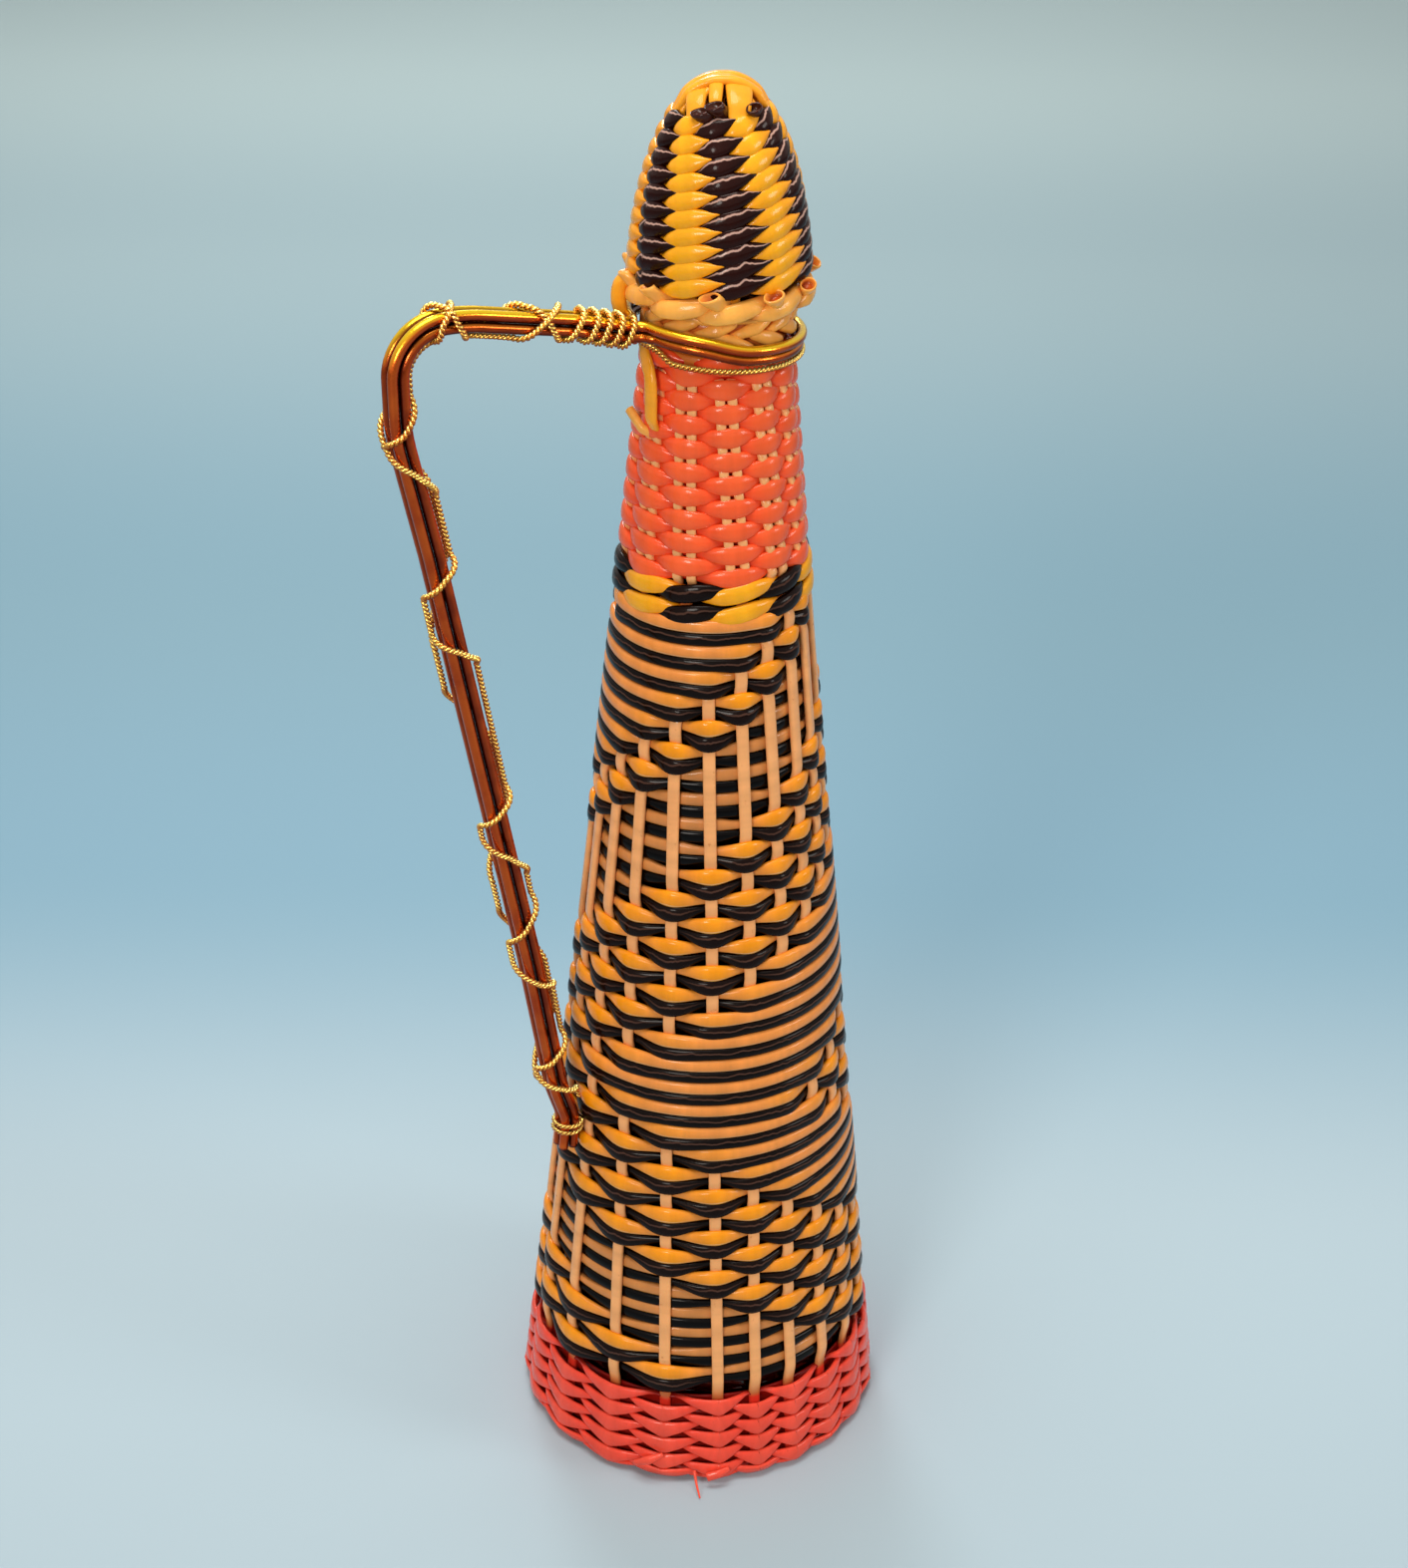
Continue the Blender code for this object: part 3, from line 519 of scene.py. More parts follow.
def bodyRows():
    # Each row is a tan tube above a black one. At a stake a tube's lift, place and width come
    # from a table of over, under and float; between stakes they ease from one to the next.
    states = bodyStates()
    heights = bodyRowHeights()
    count, steps = stakes["count"], body["stepsPerStake"]
    before, after = np.roll(states, 1, 1), np.roll(states, -1, 1)
    alone = states * (2 - before - after) / 2             # 1 for a bump over one stake
    edge = (1 - states) * np.maximum(before, after)       # under, next to an over
    u = np.arange(count * steps) / steps
    left = np.floor(u).astype(int)
    share = ease(u - left)
    right = (left + 1) % count

    def between(table):
        return table[:, left] * (1 - share) + table[:, right] * share

    crossing = np.abs(states[:, left] - states[:, right]) * (4 * share * (1 - share))
    lift = between(states) * 2 - 1
    bump = between(alone)
    azimuth = np.stack([roundTheRow(u, stakeAzimuths(z)[0]) for z in heights])
    level = wallAt(heights)[:, None] + body["tilt"] * np.sin(np.radians(azimuth))
    widths = (body["width"] + alone * (body["overWidth"] - body["width"])
              + edge * (body["underWidth"] - body["width"]))
    width = between(widths) * (1 - body["pinch"] * crossing)
    half = body["rows"] // 2
    tubes = {}
    for name, (plain, over, low) in body["tubes"].items():
        place = between(plain + alone * (over - plain) + edge * (low - plain))
        path, out = onShape(wall, level + place, azimuth, -stakes["depth"] + body["swing"] * lift)
        # raised is how far out the tube lies: the material paints shade where it dips under and a
        # highlight on a bump
        tubes[name] = [carryTube(path[rows], out[rows], width[rows], body["depth"], closed=True,
                                 bump=bump[rows], raised=(lift[rows] + 1) / 2)
                       for rows in (slice(0, half), slice(half, None))]
    return tubes


# neck weave and twined tubes

neck = {
    "columns": 11, "above": 14, "count": 193,     # columns crossed above and below the first
    "firstHeight": 0.2749,       # where the tube crosses the column left of the middle
    "pitch": 0.00256, "climb": 0.0009,
    "width": 0.0045, "underWidth": 0.0016, "depth": 0.0019, "swing": 0.0010,
    "stepsPerColumn": 16,
}


def neckTube():
    # Plain weave: one tube that winds down; lift = cos(pi*v), so each turn answers the last.
    # v counts the columns it has crossed, from the one left of the middle
    v = np.arange(-neck["above"] * neck["stepsPerColumn"],
                  neck["count"] * neck["stepsPerColumn"] + 1) / neck["stepsPerColumn"]
    height = neck["firstHeight"] - neck["pitch"] * v / neck["columns"]
    table = pairAzimuths(height)
    whole = np.concatenate([table, table[:, :1] + 360.0], 1)
    column = np.floor(v).astype(int) % neck["columns"]
    share = v - np.floor(v)
    line = np.arange(len(v))
    azimuth = whole[line, column] * (1 - share) + whole[line, column + 1] * share
    wave = np.cos(np.pi * (v + 1))
    t = wallAt(height + neck["climb"] * np.sin(np.radians(azimuth)))
    path, out = onShape(wall, t, azimuth, -stakes["depth"] + neck["swing"] * wave)
    over = (wave + 1) / 2
    width = neck["underWidth"] + (neck["width"] - neck["underWidth"]) * over
    return carryTube(path, out, width, neck["depth"], around=14, bump=over)


def roundTable(knots, values, soft):
    # Values against q in -1..1, joined straight and rounded off, and the same each time round
    q = np.linspace(-1.0, 1.0, 801)
    line = rounded(np.interp(q, knots, values)[:-1], soft + 2, "wrap")
    return q, np.append(line, line[0])


def twinedTube(profile, t, columns, phase, look, turnTable=None, climb=0.0):
    # One of two tubes twisted round the stakes. q runs from -1 behind a stake over it at 0 to
    # 1 behind the next one; tables against q give lift, slant along the section and width.
    u = np.arange(len(columns) * look["steps"]) / look["steps"]
    v = u if turnTable is None else np.interp(u, *turnTable)
    azimuth = roundTheRow(u, columns)
    q = (v - phase + 1) % 2 - 1
    front = 0.8                                # of q, over which the bright front fades
    lift, slant, width = (np.interp(q, *roundTable(look["q"], look[k], look["soft"]))
                          for k in ("lift", "slant", "width"))
    path, out = onShape(profile, t + climb * np.sin(np.radians(azimuth)) + slant, azimuth,
                        lift - look["bed"])
    # bump gives a painted highlight on the front of each pass, and raised painted shade where it
    # dips
    return carryTube(path, out, width, look["depth"], around=look["around"], closed=True,
                     squareness=look.get("squareness", 0.8),
                     bump=np.clip(1 - np.abs(q) / front, 0, 1),
                     raised=np.clip(lift / max(look["lift"]), -1, 1) / 2 + 0.5)


band = {
    "rows": (0.2275, 0.2229),
    "front": (-46, -16.5, 14.5, 50, 76),     # picture azimuths of the pairs of stakes
    "turns": ((0, 5, 11), (0, 5, 10)),       # half twists against stakes: slower at the back
    "look": {"steps": 20, "q": (-1, -0.65, -0.3, 0, 0.3, 0.65, 1),
             "lift": (-0.0011, -0.0004, 0.0007, 0.0011, 0.0009, 0.0001, -0.0011),
             "slant": (0.0, -0.0008, -0.0006, 0.0, 0.0006, 0.0009, 0.0),
             "width": (0.0022, 0.0024, 0.0038, 0.0042, 0.0040, 0.0026, 0.0022),
             "soft": 120, "bed": 0.0019, "depth": 0.0020, "around": 14},
    "climb": 0.0003,
}


def bandTubes():
    columns = spreadRound(band["front"], stakes["count"] // 2)
    return [joinParts([twinedTube(wall, wallAt(z), columns, phase, band["look"], band["turns"],
                                  band["climb"]) for z in band["rows"]]) for phase in (0, 1)]


# base

base = {
    # distances of the rows along the cover's section line from where its corner starts
    "rows": (0.0247, 0.0201, 0.0155, 0.0109, 0.0063, 0.0017),
    "stagger": 0.0023,           # leaves over every other stake sit half a leaf lower
    "lowest": 0.002,             # height under which the stakes keep their azimuths
    "clearance": 0.00005,        # over the floor
    "look": {"steps": 28, "q": (-1, -0.8, -0.68, -0.5, -0.25, 0, 0.25, 0.5, 0.7, 0.82, 1),
             "lift": (-0.0012, -0.0011, -0.0006, 0.0005, 0.0009, 0.0011, 0.0009, 0.0003, -0.0004,
                      -0.0010, -0.0012),
             "slant": (0.0004, 0.0010, 0.0010, 0.0007, -0.0001, -0.0009, -0.0001, 0.0007, 0.0012,
                       0.0010, 0.0004),
             "width": (0.0012, 0.0008, 0.0010, 0.0018, 0.0032, 0.0046, 0.0032, 0.0018, 0.0009,
                       0.0008, 0.0012),
             "soft": 12, "bed": 0.0017, "depth": 0.0013, "around": 12, "squareness": 0.75},
    # a lining behind the leaves, darkened with painted shade
    "shadeLining": {"under": 0.0036, "down": 0.0012, "width": 0.0046, "depth": 0.0006, "steps": 120},
    "matRadii": (0.0355, 0.0310, 0.0265, 0.0220, 0.0175, 0.0130),
    "matLook": {"steps": 8, "q": (-1, -0.6, 0, 0.6, 1),
                "lift": (-0.0009, -0.0004, 0.0009, 0.0, -0.0009),
                "slant": (0.0, -0.0007, 0.0, 0.0007, 0.0),
                "width": (0.0022, 0.0024, 0.0042, 0.0024, 0.0022),
                "soft": 120, "bed": 0.0018, "depth": 0.0017, "around": 8},
    "coil": {"turns": 3.2, "radius": 0.0098, "width": 0.0030, "depth": 0.0017, "first": 0.06,
             "steps": 280},
    # cut ends that stick out low in front: azimuths, heights, distances from the axis, widths
    "fray": {
        "steps": 16, "upward": 0.3, "flat": 0.5,
        "ends": (((-19.8, -15.1, -10.5), (0.0046, 0.0069, 0.0088), (0.0444, 0.0450, 0.0442),
                  (0.0014, 0.0024, 0.0012)),
                 ((3.4, 6.8, 10.2), (0.0032, 0.0042, 0.0050), (0.0449, 0.0451, 0.0444),
                  (0.0024, 0.0022, 0.0014)),
                 ((-0.6, 0.2, 1.2), (0.0048, 0.0022, 0.0005), (0.0444, 0.0464, 0.0492),
                  (0.0008, 0.0006, 0.0004))),
    },
}


def baseTubes():
    look, shadeLining, fray = base["look"], base["shadeLining"], base["fray"]
    rows = []
    for t in base["rows"]:
        height = max(float(np.interp(flatRadius + t, wall["t"], wall["z"])), base["lowest"])
        columns = stakeAzimuths(height)[0]
        rows += [twinedTube(wall, flatRadius + t - base["stagger"] * phase, columns, phase, look)
                 for phase in (0, 1)]
    azimuth = np.arange(shadeLining["steps"]) * (360.0 / shadeLining["steps"])
    # A ring of painted shade behind each row of leaves
    for t in base["rows"]:
        path, out = onShape(wall, flatRadius + t - shadeLining["down"], azimuth, -shadeLining["under"])
        rows.append(carryTube(path, out, shadeLining["width"], shadeLining["depth"], around=8, closed=True))
    share = np.linspace(0.0, 1.0, fray["steps"])
    for table in fray["ends"]:
        azimuth, height, radius, width = (smoothTable(share, values, 3) for values in table)
        rows.append(carryTube(polar(radius, turned(azimuth), height),
                              polar(1.0, turned(azimuth), fray["upward"]), width,
                              width * fray["flat"], around=8, bump=1.0))
    whole = joinParts(rows)
    whole["points"][:, 2] = np.maximum(whole["points"][:, 2], base["clearance"])
    return whole


def matTubes():
    # Rings of the same twining under the base, and a flat coil in the middle
    columns = stakeAzimuths(0.0)[0]
    rings = [twinedTube(wall, r, columns, phase, base["matLook"])
             for r in base["matRadii"] for phase in (0, 1)]
    coil = base["coil"]
    turn = np.linspace(coil["first"], coil["turns"] + 1.0, coil["steps"])
    radius = coil["radius"] * np.minimum(turn / coil["turns"], 1.0)      # the last turn is round
    path = polar(radius, turn * math.tau, coil["depth"] / 2)
    return joinParts(rings + [carryTube(path, -up, coil["width"], coil["depth"], bump=0.8)])


# cap

capWeave = {
    "rows": 10, "firstRow": 0.00655, "pitch": 0.00343, "spiral": 0.0007,
    # picture azimuths of the columns in front, a black one first, and how far they lean to
    # the left with the height over the rim
    "front": (-53, -21, 10.7, 44.5, 78), "leanHeights": (0.0065, 0.0170, 0.0270, 0.0340, 0.0385),
    "lean": (0.0, -2.6, -8.0, -15.5, -22.0),
    "look": {"steps": 24, "q": (-1, -0.75, -0.58, -0.35, -0.1, 0.2, 0.5, 0.74, 0.86, 1),
             "lift": (-0.0012, -0.0010, -0.0002, 0.0007, 0.0011, 0.0011, 0.0009, 0.0007, -0.0004,
                      -0.0012),
             "slant": (-0.0002, -0.0013, -0.0015, -0.0009, -0.0002, 0.0005, 0.0010, 0.0014, 0.0010,
                       -0.0002),
             "width": (0.0014, 0.0008, 0.0010, 0.0034, 0.0044, 0.0040, 0.0024, 0.0007, 0.0008,
                       0.0014),
             "soft": 32, "bed": 0.0019, "depth": 0.0022, "around": 16, "squareness": 0.95},
}


def capColumns(height):
    # (heights, 12) azimuths of the cap's columns at heights over the rim's underside
    lean = np.interp(np.atleast_1d(height), capWeave["leanHeights"], capWeave["lean"])
    return spreadRound(capWeave["front"], cap["columns"])[None] + lean[:, None]


def capTubes():
    # Each row starts and ends half a turn round the back, where the spiral's step is hidden
    heights = capWeave["firstRow"] + np.arange(capWeave["rows"]) * capWeave["pitch"]
    return [joinParts([twinedTube(dome, alongAt(dome, cap["rim"] + h), capColumns(h)[0], phase,
                                  capWeave["look"], climb=capWeave["spiral"]) for h in heights])
            for phase in (0, 1)]


capStakes = {"low": 0.0030, "bed": 0.0032, "width": 0.0027, "thickness": 0.0015, "steps": 60,
             "comesOut": (0.0365, 0.0395), "outBed": 0.0016, "top": 0.0440,
             "taperFrom": 0.0370, "taperOver": 0.0070, "taper": 0.45}


def capStakeTubes():
    # Each runs up inside the weave and comes out over its last row to the cap's tip
    look = capStakes
    share = np.linspace(0.0, 1.0, look["steps"])
    h = look["low"] + (look["top"] - look["low"]) * np.sin(share * math.pi / 2)
    low, high = look["comesOut"]
    lift = -look["bed"] + (look["bed"] - look["outBed"]) * ease((h - low) / (high - low))
    path, out = onShape(dome, alongAt(dome, cap["rim"] + h), capColumns(h).T, lift)
    width = look["width"] * (1 - look["taper"] * ease((h - look["taperFrom"])
                                                      / look["taperOver"]))
    return carryTube(path, out, width, look["thickness"], around=10, bump=0.6)


crown = {
    "thickness": 0.0018, "steps": 48, "curve": 60.0,
    # how much each band draws in, flattens and narrows to its ends, and where it sinks in
    "drawIn": 0.15, "flatten": 0.6, "taper": 0.3, "sinkFrom": 0.70, "sunk": 0.0016,
    # (direction in picture azimuth, sideways place, reach to each side, lift, width)
    "bands": ((-10, -0.0046, 0.0092, -0.0020, 0.0046), (-3, -0.0012, 0.0088, -0.0020, 0.0030),
              (5, 0.0030, 0.0098, -0.0018, 0.0056), (92, -0.0020, 0.0096, -0.0009, 0.0026),
              (96, 0.0008, 0.0098, -0.0010, 0.0030), (84, 0.0045, 0.0090, -0.0014, 0.0032)),
}


def domeHeight(radius):
    # Height of the cap's dome over a distance from the axis
    return np.interp(-radius, -dome["r"], dome["z"])


def crownTubes():
    # Flattened tubes that go over the tip from one side to the other; s is -1 and 1 at the ends
    parts = []
    s = np.linspace(-1.0, 1.0, crown["steps"])
    end = np.abs(s)
    sunk = crown["sunk"] * ease((end - crown["sinkFrom"]) / (1 - crown["sinkFrom"]))
    for azimuth, aside, reach, lift, width in crown["bands"]:
        ahead = polar(1.0, turned(azimuth), 0.0)
        across = np.cross(up, ahead)
        spot = (s * reach)[:, None] * ahead \
            + (aside * (1 - crown["drawIn"] * s ** 2))[:, None] * across
        spot[:, 2] = (domeHeight(np.linalg.norm(spot, axis=1))
                      + lift * (1 - crown["flatten"] * end) - sunk)
        out = spot * (crown["curve"], crown["curve"], 0.0) + up
        parts.append(carryTube(spot, out, width * (1 - crown["taper"] * end ** 3),
                               crown["thickness"], around=14, bump=0.8))
    return joinParts(parts)


rim = {
    "ropes": {"count": 10, "first": -48.0, "sweep": 52.0,
              "knots": (0.0, 0.06, 0.2, 0.45, 0.7, 0.86, 1.0),
              "height": (0.0000, 0.0002, 0.0008, 0.0016, 0.0023, 0.0028, 0.0030),
              "radius": (0.0168, 0.0178, 0.0186, 0.0186, 0.0177, 0.0164, 0.0150),
              "width": (0.0010, 0.0024, 0.0038, 0.0042, 0.0036, 0.0024, 0.0014),
              "depth": 0.0028, "upward": 0.25, "steps": 48},
    "sweep": 15.0,              # of each cut end, in degrees
    # cut ends: picture azimuth of the hole's middle, height over the rim's underside,
    # distance from the axis, width of the tube
    "holes": ((-48, 0.0052, 0.0198, 0.0040), (-6, 0.0055, 0.0200, 0.0046),
              (33, 0.0050, 0.0201, 0.0048), (65, 0.0046, 0.0200, 0.0046),
              (102, 0.0050, 0.0200, 0.0044), (139, 0.0051, 0.0200, 0.0046),
              (175, 0.0050, 0.0200, 0.0044), (212, 0.0051, 0.0200, 0.0046),
              (249, 0.0050, 0.0200, 0.0044), (281, 0.0050, 0.0198, 0.0040)),
}
cutEnd = {
    "steps": 14, "around": 18,
    # rings of the bore: how far down the tube, and size against the tube's
    "bore": ((0.30, 0.05), (0.30, 0.66), (0.06, 0.78)), "lip": 0.90,
    # the share s of a tube's length turns it by s^1.2, draws it in by s^1.5 and drops it by
    # s^0.9 of these, and narrows it by s^2
    "inward": 0.0042, "drop": 0.0038, "taper": 0.25,
    # the ring at the cut, almost level: its reach outwards, and how it leans down and across
    "levelOut": 0.72, "levelDown": 0.20, "levelLean": 0.25, "uprightOut": 0.75,
}

# cut ends of black tubes over the rim: their sweep in degrees, and holes as the rim's
blackSweep = 26.0
blackHoles = ((-27, 0.0402, 0.0104, 0.0040), (-11, 0.0416, 0.0098, 0.0040),
              (38, 0.0408, 0.0100, 0.0038), (150, 0.0404, 0.0100, 0.0036))


def arcTubes(look, low):
    # Tubes that each sweep round part of the circle through a table of heights and radii
    share = np.linspace(0.0, 1.0, look["steps"])
    first = look["first"] + np.arange(look["count"])[:, None] * 360.0 / look["count"]
    angle = turned(first + share * look["sweep"])
    radius, height, width = (np.interp(share, look["knots"], look[k])
                             for k in ("radius", "height", "width"))
    shade = np.clip(share * 8, 0.35, 1) * np.clip((1.0 - share) * 5, 0.25, 1)   # dark ends
    return carryTube(polar(radius, angle, low + height), polar(1.0, angle, look["upward"]), width,
                     look["depth"], around=14, bump=0.8 * shade, raised=0.7 * shade)


def cutEnds(holes, low, sweep):
    # Hollow ends: rings of points from the bore's floor over the lip and down the outside,
    # each ring between a level one at the cut and an upright one where the tube goes in
    azimuth, height, radius, width = (np.array(column)[:, None] for column in zip(*holes))
    count, around, steps = len(holes), cutEnd["around"], cutEnd["steps"]
    boreDown, boreSize = zip(*cutEnd["bore"])
    down = np.concatenate([boreDown, np.linspace(0.0, 1.0, steps)])[None]
    size = np.concatenate([boreSize, [cutEnd["lip"]], np.ones(steps - 1)])[None]
    size = size * (1 - cutEnd["taper"] * down ** 2) * width / 2
    angle = turned(azimuth + sweep * down ** 1.2)
    spine = polar(radius - cutEnd["inward"] * down ** 1.5, angle,
                  low + height - cutEnd["drop"] * down ** 0.9)
    outward = polar(1.0, angle, 0.0)[:, :, None]
    cos, sin = (wave(fullTurn(around))[:, None] for wave in (np.cos, np.sin))
    level = (np.cross(up, outward) * cos + up * cutEnd["levelLean"] * cos
             + (outward * cutEnd["levelOut"] - up * cutEnd["levelDown"]) * sin)
    upright = up * cos + outward * cutEnd["uprightOut"] * sin
    blend = ease(down)[..., None, None]
    points = spine[:, :, None] + size[..., None, None] * (level * (1 - blend) + upright * blend)
    shade = np.tile([0.0, 0.0, 0.3] + [0.8] * steps, count)            # dark inside the bore
    mark = np.concatenate([np.repeat(shade, around), np.zeros(count), np.full(count, 0.8)])
    return {"points": np.concatenate([points.reshape(-1, 3), spine[:, 0], spine[:, -1]]),
            "faces": tubeFaces(count, len(down[0]), around, False),
            "marks": {"bump": mark, "raised": mark, "along": 0.003 * mark, "edge": 0 * mark}}


def rimTubes():
    return joinParts([arcTubes(rim["ropes"], cap["rim"]),
                      cutEnds(rim["holes"], cap["rim"], rim["sweep"])])


border = {
    "low": 0.2741,
    "layers": (
        {"count": 12, "first": -18.0, "sweep": 34.0, "knots": (0.0, 0.15, 0.5, 0.85, 1.0),
         "height": (0.0090, 0.0094, 0.0105, 0.0116, 0.0120), "upward": 0.5,
         "radius": (0.0140, 0.0149, 0.0152, 0.0149, 0.0138),
         "width": (0.0008, 0.0020, 0.0031, 0.0020, 0.0008), "depth": 0.0022, "steps": 30},
        {"count": 12, "first": -7.0, "sweep": 36.0, "knots": (0.0, 0.15, 0.5, 0.85, 1.0),
         "height": (0.0095, 0.0090, 0.0079, 0.0066, 0.0060), "upward": 0.2,
         "radius": (0.0140, 0.0150, 0.0155, 0.0153, 0.0142),
         "width": (0.0008, 0.0022, 0.0033, 0.0022, 0.0008), "depth": 0.0022, "steps": 30},
        {"count": 8, "first": -60.0, "sweep": 60.0, "knots": (0.0, 0.15, 0.5, 0.85, 1.0),
         "height": (0.0133, 0.0133, 0.0129, 0.0122, 0.0118), "upward": 0.6,
         "radius": (0.0138, 0.0146, 0.0148, 0.0146, 0.0138),
         "width": (0.0012, 0.0022, 0.0026, 0.0022, 0.0012), "depth": 0.0018, "steps": 34},
    ),
    "bed": {"radius": 0.0139, "heights": (0.0022, 0.0060, 0.0098, 0.0128),
            "width": 0.0040, "depth": 0.0012, "steps": 96},
}


def borderTubes():
    # Layers of short ropes that lean opposite ways, and smooth rings of tube behind them,
    # darkened with painted shade
    parts = [arcTubes(look, border["low"]) for look in border["layers"]]
    bed = border["bed"]
    angle = fullTurn(bed["steps"])
    parts += [carryTube(polar(bed["radius"], angle, border["low"] + height),
                        polar(1.0, angle, 0.0), bed["width"], bed["depth"], around=8,
                        closed=True, bump=0.1) for height in bed["heights"]]
    return joinParts(parts)


# stakes carried through the weave

def stakeTubes():
    # Lift over each row's mark: inside where the row passes over, outside where under;
    # in the neck lift = -a*cos(pi*v), in the base always inside. Eased between the marks.
    count, swing = stakes["count"], stakes["swing"]
    states = bodyStates()
    rows = wallAt(bodyRowHeights())
    marks = np.concatenate([[flatRadius + base["rows"][0]], rows[::-1],
                            [wallAt(stakes["bandHeight"])]])
    runs = [(wallAt(high), wallAt(low), steps) for high, low, steps in stakes["runs"]]
    high, end, steps = stakes["lastRun"]
    runs.append((wallAt(high), end, steps))
    t = np.concatenate([np.linspace(*run) for run in runs])
    height = np.interp(t, wall["t"], wall["z"])
    half = stakes["pairHalfGap"] * np.where(np.arange(count) % 2 == 0, -1.0, 1.0)
    pairs = np.repeat(pairAzimuths(height), 2, axis=1) + half
    gather = ease((height - stakes["gatherFrom"]) / stakes["gatherOver"])[:, None]
    azimuth = stakeAzimuths(np.maximum(height, 0.0)) * (1 - gather) + pairs * gather
    inside, outside = -stakes["depth"] - swing, -stakes["depth"] + swing
    lift = np.full((len(t), count), inside)
    inBody = (t > marks[0]) & (t < marks[-1])
    for k in range(count):
        values = np.concatenate([[inside], np.where(states[::-1, k] > 0, inside, outside),
                                 [inside]])
        lift[inBody, k] = easedTable(t[inBody], marks, values)
    column = np.arange(count) // 2
    turnsDown = (neck["firstHeight"] - height[:, None]) / neck["pitch"] * neck["columns"]
    n = (turnsDown - column) / neck["columns"]
    inNeck = ease((height - stakes["neckFrom"]) / stakes["neckOver"])[:, None]
    wave = swing * np.cos(np.pi * (column + n))
    lift = lift * (1 - inNeck) + (wave - stakes["depth"]) * inNeck
    width = stakes["width"] + (stakes["neckWidth"] - stakes["width"]) * gather[:, 0]
    foot = stakes["footShare"]
    width = width * (foot + (1 - foot) * ease((t - stakes["footFrom"]) / stakes["footOver"]))
    path, out = onShape(wall, t[:, None], azimuth, lift)
    # bump gives painted shade where a stake lies inside the rows and a painted highlight where it
    # lies out over them
    return carryTube(path.transpose(1, 0, 2), out.transpose(1, 0, 2), width, stakes["thickness"],
                     around=10, squareness=0.65,
                     bump=np.clip((lift.T - inside) / (outside - inside), 0, 1))


# handle

handle = {
    "wire": 0.00225, "spacing": 0.0025,
    "foot": 0.0840, "seat": 0.0026, "barStart": 0.2830,
    # (reach from the bottle's axis, height) of each corner, and the fillet there
    "corners": ((0.0376, 0.0925), (0.0406, 0.1015), (0.0472, 0.1390), (0.0684, 0.2435),
                (0.0749, 0.2720), (0.0753, 0.2934), (0.0600, 0.2929), (0.0350, 0.2870)),
    "fillets": (0.012, 0.030, 0.060, 0.060, 0.040, 0.010, 0.040, 0.040),
    "ringRadius": (0.0182, 0.0176), "ringOffset": 0.0010, "ringHeight": 0.27935,
    "ringSlope": 0.10, "ringLift": 0.0016, "liftFrom": (0.003, 0.015),
    "ringSpread": (1.0, 0.75),       # of the spacing, over and under the ring's middle
    # leaving the bar: radius of the arc, how far round the ring the height still settles,
    # and over what length the wires turn upright
    "joinRadius": 0.0035, "rampDegrees": 8.0, "turnOver": 0.006, "step": 0.0006,
    "arcSteps": 40, "bendSteps": 24, "ringSteps": 120, "around": 14,
}

# middle of the arc by which a strand leaves the bar for the ring round the neck
joinY = handle["spacing"] / 2 + handle["joinRadius"]
joinX = -handle["ringOffset"] - math.sqrt(
    (handle["ringRadius"][0] + handle["joinRadius"]) ** 2 - joinY ** 2)


def resample(path, step, *others):
    # Even steps along a path; further arrays that go with its points become further columns
    run = runOf(path)
    place = np.linspace(0.0, run[-1], max(int(run[-1] / step), 4))
    return np.stack([np.interp(place, run, column) for line in (path, *others)
                     for column in line.T], -1)


def filletPath(corners, radii):
    # Straight runs joined by arcs: each arc's centre lies on the corner's bisector
    points = [np.array([corners[0]])]
    for before, here, after, radius in zip(corners, corners[1:], corners[2:], radii):
        here = np.array(here)
        back, ahead = unit(before - here), unit(after - here)
        half = math.acos(float(back @ ahead)) / 2
        centre = here + unit(back + ahead) * radius / math.sin(half)
        start = here + back * radius / math.tan(half) - centre
        stop = here + ahead * radius / math.tan(half) - centre
        a, b = math.atan2(start[1], start[0]), math.atan2(stop[1], stop[0])
        b = a + (b - a + math.pi) % math.tau - math.pi
        turn = np.linspace(a, b, handle["arcSteps"])
        points.append(centre + polar(radius, turn, 0.0)[:, :2])
    points.append(np.array([corners[-1]]))
    return resample(np.concatenate(points), handle["step"])


def handleFrames():
    # Middle of the four strands in the handle's plane, foot to neck, as (reach, height), and
    # what is square to it there
    corners = [(coverRadius(handle["foot"]) + handle["seat"], handle["foot"]),
               *handle["corners"], (-joinX, handle["barStart"])]
    middle = filletPath(corners, handle["fillets"])
    ahead = aheadOf(middle)
    return middle, np.stack([ahead[:, 1], -ahead[:, 0]], -1)


